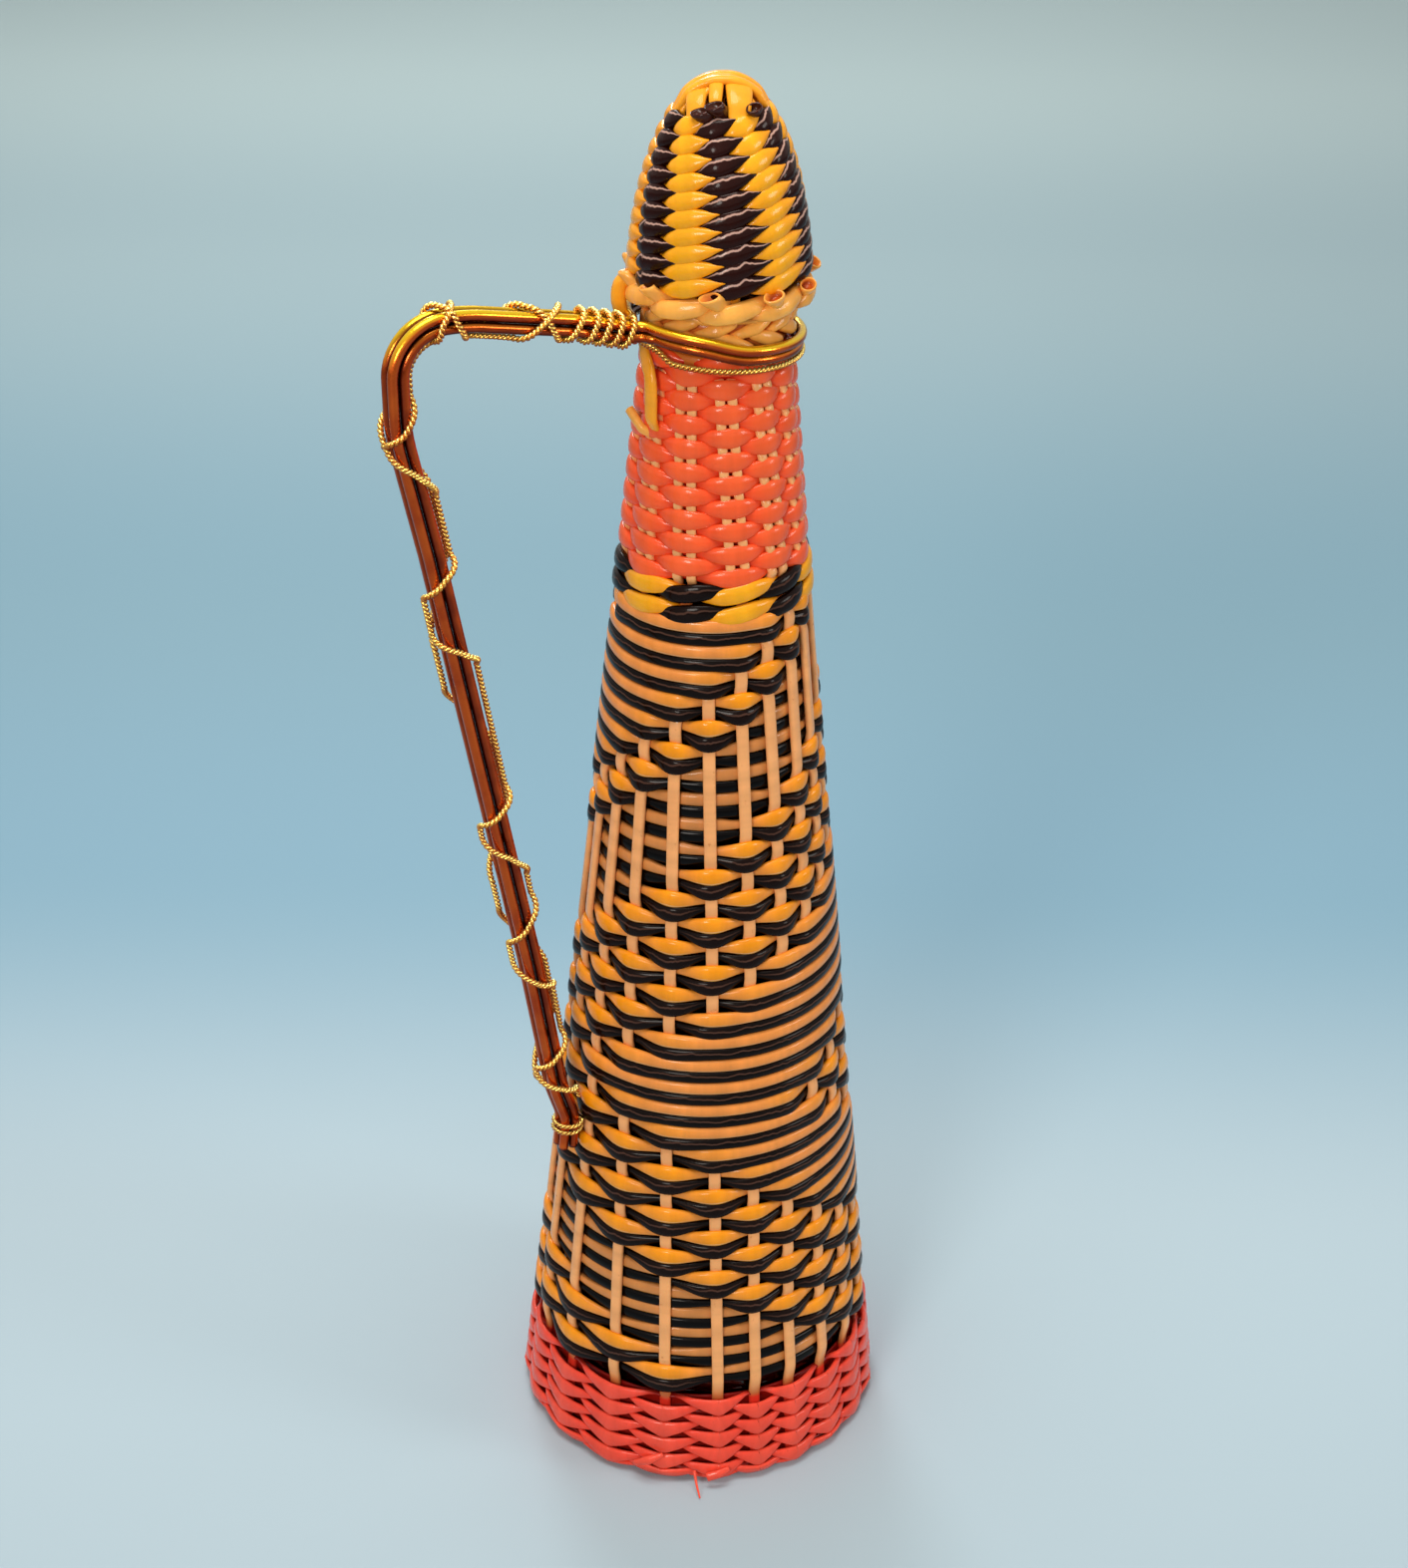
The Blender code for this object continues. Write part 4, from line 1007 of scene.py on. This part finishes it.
def handleWires():
    # Two wires, each up one side, once round the neck and back down the other side
    middle, normal = handleFrames()
    wire, spacing, around = handle["wire"], handle["spacing"], handle["around"]
    mirror, across = np.array([1, -1, 1]), np.array([0.0, 1.0, 0.0])
    joinAngle = math.atan2(joinY, joinX + handle["ringOffset"])
    low, high = handle["liftFrom"]
    parts = []
    for level, ring, spread in zip((1.0, -1.0), handle["ringRadius"], handle["ringSpread"]):
        shifted = middle + normal * level * spacing / 2
        half = np.stack([-shifted[:, 0], np.full(len(shifted), spacing / 2), shifted[:, 1]], -1)
        bend = np.linspace(-math.pi / 2, joinAngle - math.pi, handle["bendSteps"])[1:]
        turn = np.linspace(joinAngle, 0.0, handle["ringSteps"])[1:]
        plan = np.concatenate([
            polar(handle["joinRadius"], bend, 0.0)[:, :2] + (joinX, joinY),
            polar(ring, turn, 0.0)[:, :2] - (handle["ringOffset"], 0.0)])
        ramp = (handle["joinRadius"] * (joinAngle - math.pi / 2)
                + ring * math.radians(handle["rampDegrees"]))
        share = np.clip(runOf(np.concatenate([half[-1:, :2], plan]))[1:] / ramp, 0.0, 1.0)
        settled = share * share * (3 - 2 * share)
        line = (handle["ringHeight"] - handle["ringSlope"] * plan[:, 0]
                + handle["ringLift"] * ease((-plan[:, 0] - low) / (high - low))
                + level * spacing / 2 * spread)
        z = half[-1, 2] + (line - half[-1, 2]) * settled
        loop = np.concatenate([plan, z[:, None]], 1)
        path = resample(np.concatenate([half, loop, (loop[:-1] * mirror)[::-1],
                                        (half * mirror)[::-1]]), handle["step"])
        # Square to the path in the handle's plane, turning to straight up for the ring
        flat = np.cross(aheadOf(path), across) * np.where(path[:, 1:2] > 0, 1.0, -1.0)
        share = ease((path[:, :1] - joinX + handle["turnOver"]) / handle["turnOver"])
        out = flat * (1 - share) + up * share
        part = carryTube(path, out, wire, wire, around=around, squareness=1.0)
        # The mark raised is 1 on the open side of the bundle, 0 in the groove between strands,
        # where the wire's material paints shade
        away = level * out + np.sign(path[:, 1:2]) * across
        onRing = path[:, 0] > joinX
        away[onRing] += path[onRing] * (60.0, 60.0, 0.0)         # about 1 at the ring's radius
        skin = part["points"][:-2].reshape(len(path), around, 3) - path[:, None]
        facing = ((unit(skin) * unit(away)[:, None]).sum(-1) + 1) / 2
        part["marks"]["raised"] = np.append(facing, [0.5, 0.5])
        parts.append(part)
    return parts


lace = {
    "strand": 0.00075, "pitch": 0.0021, "reach": 0.00305, "overCorner": 0.0004,
    "looseLift": 0.0002, "samples": 0.00005, "soft": 24, "step": 0.0003,
    # how far it stands off the slope's outer and inner side, and from what height down
    "slack": 0.0008, "slackBelow": 0.272, "slackOver": 0.012,
    # angle round the handle (0 outer side, 90 towards the viewer, 180 inner side) against the
    # place: reach in mm along the bar, then height in mm down the slope
    "wound": {"bar": ((21.9, 0), (24.9, 360), (27.8, 720), (30.7, 1080), (33.6, 1440),
                      (37.0, 1620), (41.5, 1530), (46.5, 1440), (50.0, 1360), (52.0, 1350),
                      (61.0, 1350), (62.5, 1440), (66.0, 1530), (67.5, 1612)),
              "slope": ((284.0, 1622), (279.0, 1620), (272.5, 1530), (270.0, 1440),
                        (268.0, 1350), (258.0, 1270), (243.0, 1270), (232.0, 1350),
                        (222.0, 1430), (213.0, 1430), (205.0, 1350), (195.0, 1270),
                        (180.0, 1270), (170.0, 1350), (162.0, 1430), (155.0, 1430),
                        (145.0, 1350), (136.0, 1270), (122.0, 1270), (115.0, 1350),
                        (106.0, 1420), (100.0, 1350))},
    "loose": {"bar": ((34.0, -180), (36.0, -90), (39.0, 0), (44.0, 90), (48.5, 175), (52.0, 180),
                      (58.5, 180), (62.5, 90), (65.0, 0), (67.0, -80)),
              "slope": ((283.0, -95), (276.0, -85), (272.5, -30), (269.5, 0), (263.5, 90),
                        (256.0, 175), (242.0, 180), (238.5, 90), (235.5, 5), (226.0, 0),
                        (221.5, 90), (216.0, 178), (184.0, 180), (180.0, 90), (178.0, 5),
                        (174.0, 0), (168.5, 90), (161.0, 178), (155.0, 180), (149.0, 90),
                        (146.0, 5), (139.5, 0), (133.0, 90), (130.0, 178), (116.0, 180),
                        (111.5, 90), (109.5, 5), (107.0, 0), (102.5, 90), (98.0, 178),
                        (95.0, 180))},
}


def twisted(path, out, strand, pitch, closed=False):
    # Two strands on either side of the path: angle = 2*pi*distance/pitch
    ahead = aheadOf(path, closed)
    out = squareTo(ahead, out)
    side = np.cross(out, ahead)
    run = runOf(path)
    if closed:
        whole = run[-1] + np.linalg.norm(path[0] - path[-1])
        pitch = whole / round(whole / pitch)
    parts = []
    for phase in (0.0, math.pi):
        angle = (run * math.tau / pitch + phase)[:, None]
        swing = out * np.cos(angle) + side * np.sin(angle)
        parts.append(carryTube(path + swing * strand / 2, swing, strand, strand, around=6,
                               closed=closed, squareness=1.0))
    return joinParts(parts)


def handleLace():
    # Round the strands of the handle: place = middle(distance) + r*(cos*normal - sin*Y)
    middle, normal = (line[::-1] for line in handleFrames())
    run = runOf(middle)
    bend = int(np.argmax(middle[:, 0]))
    down = slice(bend - 12, None)               # the slope, from a little before the bend
    parts = []
    for name, lift in (("wound", 0.0), ("loose", lace["looseLift"])):
        bar, slope = (np.array(lace[name][k], float).T for k in ("bar", "slope"))
        distance = np.concatenate([
            np.interp(bar[0] / 1000, middle[:bend, 0], run[:bend]),
            np.interp(-slope[0] / 1000, -middle[down, 1], run[down])])
        place = np.arange(distance[0], distance[-1], lace["samples"])
        angle = np.interp(place, distance, np.concatenate([bar[1], slope[1]]))
        angle = np.radians(rounded(angle, lace["soft"]))
        reach, height, outward, upward = (np.interp(place, run, column) for line in
                                          (middle, normal) for column in line.T)
        out = np.stack([-outward * np.cos(angle), -np.sin(angle), upward * np.cos(angle)], -1)
        onSlope = ease((lace["slackBelow"] - height) / lace["slackOver"])
        off = (lace["reach"] + lift + lace["overCorner"] * np.abs(np.sin(2 * angle))
               + lace["slack"] * onSlope * np.cos(angle) ** 2)
        path = np.stack([-reach, 0 * angle, height], -1) + out * off[:, None]
        whole = resample(path, lace["step"], out)
        parts.append(twisted(whole[:, :3], whole[:, 3:], lace["strand"], lace["pitch"]))
    return joinParts(parts)


neckRing = {"radius": 0.01755, "height": 0.2762, "lean": 0.05, "strand": 0.00072, "steps": 460,
            "lift": 0.0020, "liftFrom": 0.90, "liftOver": 0.1}


def neckLace():
    # A ring under the wires that leans up to the handle: height = h + lean*x
    look = neckRing
    angle = fullTurn(look["steps"])
    towards = -np.cos(angle)                   # 1 on the handle's side
    height = (look["height"] + look["lean"] * look["radius"] * towards
              + look["lift"] * ease((towards - look["liftFrom"]) / look["liftOver"]))
    return twisted(polar(look["radius"], angle, height), polar(1.0, angle, 0.0),
                   look["strand"], lace["pitch"], closed=True)


tie = {"turns": (-0.4, 1.55), "height": 0.0915, "drop": 0.0034, "reach": (0.0031, 0.0037),
       "strand": 0.00058, "steps": 260}


def footTie():
    # Nearly two turns low round the strands
    angle = np.linspace(*tie["turns"], tie["steps"]) * math.tau
    height = tie["height"] - tie["drop"] * np.linspace(0.0, 1.0, tie["steps"])
    centre = coverRadius(height) + handle["seat"]
    out = polar(1.0, angle, 0.0) * (-1.0, 1.0, 1.0)
    path = np.stack([-centre, 0 * angle, height], -1) + out * (*tie["reach"], 1.0)
    return twisted(path, out, tie["strand"], lace["pitch"])


# tether and the cream tube's loose end

tether = {
    "hinge": (-0.019557, 0.010399, 0.287), "blend": 0.0035, "steps": 120, "soft": 9,
    # CAD azimuth, distance from the axis, height, width and thickness from the cap down
    "azimuth": (160, 159, 158, 158, 158, 158, 158, 158, 160, 165, 172, 180, 187, 190, 190.5,
                190.5, 190.5),
    "radius": (0.0172, 0.0195, 0.0206, 0.0210, 0.0210, 0.0207, 0.0199, 0.0187, 0.0174, 0.0168,
               0.0169, 0.0175, 0.0183, 0.0187, 0.0187, 0.0187, 0.0174),
    "height": (0.2914, 0.2916, 0.2903, 0.2885, 0.2866, 0.2848, 0.2833, 0.2821, 0.2808, 0.2790,
               0.2772, 0.2757, 0.2743, 0.2720, 0.2680, 0.2640, 0.2614),
    "width": (0.0024, 0.0028, 0.0030, 0.0030, 0.0030, 0.0030, 0.0028, 0.0028, 0.0028, 0.0028,
              0.0029, 0.0030, 0.0031, 0.0033, 0.0033, 0.0032, 0.0024),
    "thickness": (0.0022, 0.0028, 0.0031, 0.0033, 0.0033, 0.0031, 0.0026, 0.0019, 0.0013, 0.0012,
                  0.0012, 0.0013, 0.0016, 0.0018, 0.0018, 0.0017, 0.0012),
}


def tetherTube():
    share = np.linspace(0.0, 1.0, tether["steps"])
    azimuth, radius, height, width, thickness = (
        smoothTable(share, tether[k], tether["soft"]) for k in
        ("azimuth", "radius", "height", "width", "thickness"))
    angle = np.radians(azimuth)
    slopeR, slopeZ = np.gradient(radius), np.gradient(height)
    size = np.hypot(slopeR, slopeZ) + 1e-9
    return carryTube(polar(radius, angle, height), polar(-slopeZ / size, angle, slopeR / size),
                     width, thickness, around=16, squareness=0.85, bump=0.8)


creamEnd = {"azimuth": (-68, -64, -57, -50), "radius": (0.0197, 0.0192, 0.0184, 0.0160),
            "height": (0.2640, 0.2628, 0.2606, 0.2595), "width": 0.0022, "flat": 0.8,
            "steps": 30, "soft": 5}


def creamEndTube():
    share = np.linspace(0.0, 1.0, creamEnd["steps"])
    azimuth, radius, height = (smoothTable(share, creamEnd[k], creamEnd["soft"]) for k in
                               ("azimuth", "radius", "height"))
    return carryTube(polar(radius, turned(azimuth), height), polar(1.0, turned(azimuth), 0.0),
                     creamEnd["width"], creamEnd["width"] * creamEnd["flat"], bump=0.7)


# materials

def newGroup(name, inputs, outputs):
    # The kind of an input's value tells the kind of its socket; None stands for a place
    kinds = {tuple: "Color", float: "Float", type(None): "Vector"}
    group = bpy.data.node_groups.new(name, "ShaderNodeTree")
    for label, value in inputs.items():
        socket = group.interface.new_socket(label, in_out="INPUT",
                                            socket_type="NodeSocket" + kinds[type(value)])
        if value is not None:
            socket.default_value = value
    for label, kind in outputs.items():
        group.interface.new_socket(label, in_out="OUTPUT", socket_type="NodeSocket" + kind)
    return (group, group.nodes.new("NodeGroupInput").outputs,
            group.nodes.new("NodeGroupOutput").inputs)


def makeTubeGroup():
    # Soft plastic tube: painted shade in a deeper colour where it dips under, a painted
    # highlight on a bump, faint streaks along its length, scuffs, a pale wandering painted
    # highlight line and a fine grain in its gloss
    white, black = (1.0, 1.0, 1.0, 1.0), (0.0, 0.0, 0.0, 1.0)
    group, given, result = newGroup(
        "softTube",
        {"Vector": None, "Color": white, "Deep": black, "Bright": white, "Bump": 0.0,
         "Raised": 1.0, "Along": 0.0, "Scuff": 0.2, "Edge": 0.0, "Highlight Line": white,
         "Highlight Line Amount": 0.0, "Highlight Line Place": 0.4, "Highlight Line Wander": 1.0, "Rough": 0.12},
        {"Color": "Color", "Roughness": "Float", "Height": "Float"})
    place, raised, deep = given["Vector"], given["Raised"], given["Deep"]
    patch = noise(group, place, 85.0, 2.0)
    grain = noise(group, place, 1500.0, 3.0)
    spots = noise(group, place, 520.0, 4.0, 0.7)
    length = addNode(group, "CombineXYZ", {"X": given["Along"]}).outputs[0]
    streak = noise(group, length, 240.0, 3.0)
    # Painted shade: the deep colour where the tube lies low and dips under
    colour = mixColours(group, remap(group, raised, 0.0, 0.55, 0.1, 1.0), deep, given["Color"])
    # Painted highlight: the bright colour on a bump
    bump = maths(group, "MULTIPLY", given["Bump"], maths(group, "ADD", patch, 0.5),
                 use_clamp=True)
    colour = mixColours(group, bump, colour, given["Bright"])
    colour = mixColours(group, 1.0, colour, remap(group, streak, 0.3, 0.7, 0.86, 1.10),
                        "MULTIPLY")
    scuffed = maths(group, "MULTIPLY", remap(group, spots, 0.64, 0.72), given["Scuff"])
    colour = mixColours(group, scuffed, colour, deep)
    # Painted highlight line: a pale line at a wandering place across the tube, where it is raised
    wander = maths(group, "MULTIPLY_ADD", streak, given["Highlight Line Wander"], given["Highlight Line Place"])
    aside = maths(group, "ABSOLUTE", maths(group, "SUBTRACT", given["Edge"], wander))
    line = remap(group, aside, 0.14, 0.05, 0.0, given["Highlight Line Amount"])
    colour = mixColours(group, maths(group, "MULTIPLY", line, raised), colour, given["Highlight Line"])
    for label, value in (("Color", colour), ("Height", maths(group, "ADD", patch, grain)),
                         ("Roughness", maths(group, "MULTIPLY_ADD", grain, 0.2, given["Rough"]))):
        group.links.new(value, result[label])
    return group


tubeGroup = makeTubeGroup()


def tubeMaterial(name, colour, deep, bright, scuff=0.2, highlightLine=None, gloss=(0.16, 0.2)):
    # deep is the colour of painted shade and of scuffs, bright that of a painted highlight
    # on a bump; highlightLine is a painted highlight line's colour, amount, place across
    # the tube and wander; gloss is shine and coat
    material, tree, shader, place = newMaterial(name)
    given = {"Vector": place["Object"], "Color": linear(colour), "Deep": linear(deep),
             "Bright": linear(bright), "Scuff": scuff}
    for mark in ("bump", "raised", "along", "edge"):
        given[mark.title()] = addNode(tree, "Attribute", attribute_name=mark).outputs["Fac"]
    if highlightLine:
        given.update(zip(("Highlight Line", "Highlight Line Amount", "Highlight Line Place", "Highlight Line Wander"),
                         (linear(highlightLine[0]), *highlightLine[1:])))
    finish = addNode(tree, "Group", given, node_tree=tubeGroup).outputs
    feed(tree, shader, {
        "Base Color": finish["Color"], "Roughness": finish["Roughness"],
        "Normal": relief(tree, finish["Height"], 0.25, 0.00025),
        "Specular IOR Level": gloss[0], "Coat Weight": gloss[1], "Coat Roughness": 0.04,
        "Subsurface Weight": 0.08, "Subsurface Radius": (1.0, 0.35, 0.12),
        "Subsurface Scale": 0.0015})
    return material


def stakeMaterial():
    # Peach strips that turn coral where they stand in the base
    material = tubeMaterial("peachStake", (248, 164, 98), (196, 98, 46), (253, 178, 114), 0.5)
    tree = material.node_tree
    shader = tree.nodes["Principled BSDF"]
    place = addNode(tree, "TexCoord").outputs["Object"]
    height = addNode(tree, "SeparateXYZ", {"Vector": place}).outputs["Z"]
    peach = shader.inputs["Base Color"].links[0].from_socket
    feed(tree, shader, {"Base Color": mixColours(tree, remap(tree, height, 0.0234, 0.0222),
                                                 peach, linear((236, 58, 40)))})
    return material


def wireMaterial(name, top, colour, dull, under, groove=None):
    # Gold wire: bright metal with duller, redder patches and fine drawing lines, painted
    # shade in red brown below and in the grooves between strands, and a painted highlight on
    # the side facing up
    material, tree, shader, place = newMaterial(name)
    patch = noise(tree, place["Object"], 160.0, 3.0)
    fine = noise(tree, place["Object"], 1800.0, 2.0)
    tone = mixColours(tree, remap(tree, patch, 0.42, 0.68, 0.0, 0.75), linear(colour),
                      linear(dull))
    upward = addNode(tree, "SeparateXYZ", {"Vector": place["Normal"]}).outputs["Z"]
    # Painted shade in red brown on the side facing down, painted highlight on the side facing up
    tone = mixColours(tree, remap(tree, upward, -0.55, 0.15), linear(under), tone)
    tone = mixColours(tree, remap(tree, upward, 0.20, 0.75), tone, linear(top))
    # Painted shade in the grooves between strands
    if groove:
        raised = addNode(tree, "Attribute", attribute_name="raised").outputs["Fac"]
        tone = mixColours(tree, remap(tree, raised, 0.28, 0.85), linear(groove), tone)
    feed(tree, shader, {"Base Color": tone, "Metallic": 0.78,
                        "Roughness": remap(tree, fine, 0.3, 0.7, 0.14, 0.26),
                        "Normal": relief(tree, fine, 0.15, 0.0002)})
    return material


def glassMaterial():
    material, tree, shader, place = newMaterial("oliveGlass")
    wavy = noise(tree, place["Object"], 60.0, 1.0)
    seeds = addNode(tree, "TexVoronoi", {"Vector": place["Object"], "Scale": 260.0})
    feed(tree, shader, {
        "Base Color": mixColours(tree, wavy, linear((38, 46, 22)), linear((58, 66, 30))),
        "Roughness": remap(tree, seeds.outputs["Distance"], 0.0, 0.5, 0.14, 0.04),
        "Normal": relief(tree, wavy, 0.2, 0.0006), "Transmission Weight": 1.0, "IOR": 1.5})
    return material


def corkMaterial():
    material, tree, shader, place = newMaterial("pressedCork")
    grain = addNode(tree, "TexVoronoi", {"Vector": place["Object"],
                                         "Scale": 700.0}).outputs["Distance"]
    pits = remap(tree, noise(tree, place["Object"], 260.0, 5.0), 0.56, 0.64)
    bits = mixColours(tree, grain, linear((196, 148, 98)), linear((150, 102, 60)))
    feed(tree, shader, {
        "Base Color": mixColours(tree, pits, bits, linear((84, 50, 28))), "Roughness": 0.82,
        "Normal": relief(tree, maths(tree, "SUBTRACT", grain, pits), 0.6, 0.0004)})
    return material


finishes = {
    # name: (colour, painted shade where it dips under and the scuffs' colour, painted
    # highlight on a bump, scuffs, painted highlight line, gloss)
    "tan": ((246, 152, 72), (212, 138, 74), (255, 156, 18), 0.35,
            ((255, 212, 162), 0.6, -0.85, 0.3)),
    "black": ((12, 4, 2), (3, 1, 1), (22, 7, 4), 0.1, ((160, 112, 94), 0.22, -0.25, 1.0),
              (0.05, 0.14)),
    "capBlack": ((22, 6, 4), (5, 1, 1), (44, 14, 9), 0.1, ((228, 184, 168), 0.7, -0.35, 1.7),
                 (0.06, 0.16)),
    "brown": ((38, 13, 8), (84, 40, 24), (66, 26, 16), 0.1, ((210, 170, 150), 0.5, -0.2, 1.2)),
    "yellow": ((255, 156, 16), (206, 72, 6), (255, 178, 30), 0.1),
    "coral": ((255, 74, 32), (186, 14, 4), (255, 102, 52), 0.15),
    "redCoral": ((244, 66, 46), (128, 10, 6), (250, 86, 64), 0.2),
    "cream": ((255, 164, 66), (176, 66, 14), (255, 182, 84), 0.25),
    "crown": ((255, 158, 30), (196, 84, 10), (255, 174, 44), 0.15),
    "orange": ((252, 158, 30), (206, 84, 10), (255, 172, 44), 0.1),
}
wireFinishes = {
    # name: (painted highlight facing up, colour, dull patches, painted shade facing down,
    # painted shade in the groove)
    "goldWire": ((255, 212, 36), (226, 100, 30), (176, 56, 16), (136, 34, 8), (96, 18, 4)),
    # A darker copy of the gold for the lower wire: painted shade
    "goldWireShaded": ((250, 150, 28), (206, 80, 22), (132, 38, 10), (84, 18, 4), (72, 12, 4)),
    "goldLace": ((255, 232, 130), (255, 190, 80), (228, 120, 32), (150, 60, 16)),
}
paint = {name: tubeMaterial(name + "Tube", *values) for name, values in finishes.items()}
paint |= {name: wireMaterial(name, *values) for name, values in wireFinishes.items()}
paint["peach"] = stakeMaterial()
print("materials ready")


# pieces

bodyTubes = bodyRows()
bandYellow, bandBlack = bandTubes()
capBlack, capYellow = capTubes()
wireUpper, wireLower = handleWires()
stakeNodes = ["stake_%02d" % (k + 1) for k in range(stakes["count"])]
capStakeNodes = ["cap_stake_%02d" % (k + 1) for k in range(cap["columns"])]
bottlePieces = (
    # name, its arrays, finish, slot, nodes that it takes the place of
    ("tanTubesUpper", bodyTubes["tan"][0], "tan", "striped_tube", ["body_weave_upper"]),
    ("tanTubesLower", bodyTubes["tan"][1], "tan", "striped_tube", ["body_weave_lower"]),
    ("blackTubesUpper", bodyTubes["black"][0], "black", "striped_tube", []),
    ("blackTubesLower", bodyTubes["black"][1], "black", "striped_tube", []),
    ("stakes", stakeTubes(), "peach", "peach_tube", stakeNodes),
    ("bandYellow", bandYellow, "yellow", "yellow_tube", ["twined_band"]),
    ("bandBlack", bandBlack, "black", "striped_tube", []),
    ("neckCoral", neckTube(), "coral", "coral_tube", ["neck_weave"]),
    ("baseCoral", baseTubes(), "redCoral", "red_coral_tube", ["base_weave"]),
    ("baseMat", matTubes(), "redCoral", "red_coral_tube", ["base_mat"]),
    ("neckBorder", borderTubes(), "cream", "cream_tube", ["neck_border"]),
)
capPieces = (
    ("capYellow", capYellow, "yellow", "striped_tube", ["cap_weave"]),
    ("capBlack", capBlack, "capBlack", "striped_tube", []),
    ("capBlackEnds", cutEnds(blackHoles, cap["rim"], blackSweep), "brown", "striped_tube", []),
    ("capStakes", capStakeTubes(), "crown", "peach_tube", capStakeNodes),
    ("capCrown", crownTubes(), "crown", "cream_tube", ["cap_crown"]),
    ("capRim", rimTubes(), "cream", "cream_tube", ["cap_rim"]),
)
handlePieces = (
    ("wireUpper", wireUpper, "goldWire", "gold_wire", ["handle_wire_upper"]),
    # the lower wire takes the darker copy of the gold, as painted shade
    ("wireLower", wireLower, "goldWireShaded", "gold_wire", ["handle_wire_lower"]),
    ("handleLace", handleLace(), "goldLace", "gold_lace", ["handle_lace"]),
    ("neckLace", neckLace(), "goldLace", "gold_lace", ["neck_lace"]),
    ("footTie", footTie(), "goldLace", "gold_lace", ["foot_tie"]),
    ("creamEnd", creamEndTube(), "cream", "cream_tube", []),
)
for holder, pieces in (("bottle", bottlePieces), ("cap", capPieces), ("bottle", handlePieces)):
    for name, part, finish, slot, nodes in pieces:
        makePiece(name, part, paint[finish], holder, nodes)

tetherPiece = makePiece("tether", tetherTube(), paint["orange"], None,
                        ("tether_anchor", "tether_loop"))
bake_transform(tetherPiece)

for node, material in (("glass_bottle", glassMaterial()), ("cork_stopper", corkMaterial())):
    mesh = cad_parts[node].data
    mesh.materials.clear()
    mesh.materials.append(material)
print("pieces made")


# floor

stage = {
    "reach": 4.0,
    # floor and backdrop are one sheet: distance behind the bottle in metres, screen colour
    "tones": ((-0.30, (162, 182, 194)), (0.05, (178, 201, 214)), (0.24, (134, 174, 196)),
              (0.44, (134, 172, 190)), (0.83, (166, 192, 200)), (1.15, (194, 217, 220))),
}


def makeFloor():
    # One pale sheet under the bottle whose tone changes with the distance behind it, as the
    # table lists: palest near the bottle, darker and bluer 0.24 to 0.44 m back, paler again
    # farther off
    mesh = bpy.data.meshes.new("floor")
    reach = stage["reach"]
    mesh.from_pydata([(-reach, -reach, 0), (reach, -reach, 0), (reach, reach, 0),
                      (-reach, reach, 0)], [], [(0, 1, 2, 3)])
    material, tree, shader, place = newMaterial("paleFloor")
    heading = math.radians(view["headingDegrees"])
    behind = addNode(tree, "VectorMath", {0: place["Object"],
                                          1: (math.cos(heading), math.sin(heading), 0.0)},
                     operation="DOT_PRODUCT").outputs["Value"]
    (near, tone), *rest = stage["tones"]
    colour = linear(tone)
    for far, tone in rest:
        share = remap(tree, behind, near, far, interpolation_type="SMOOTHSTEP")
        colour = mixColours(tree, share, colour, linear(tone))
        near = far
    feed(tree, shader, {"Base Color": colour, "Roughness": 0.6, "Specular IOR Level": 0.2})
    mesh.materials.append(material)
    floor = addObject("floor", mesh)


makeFloor()
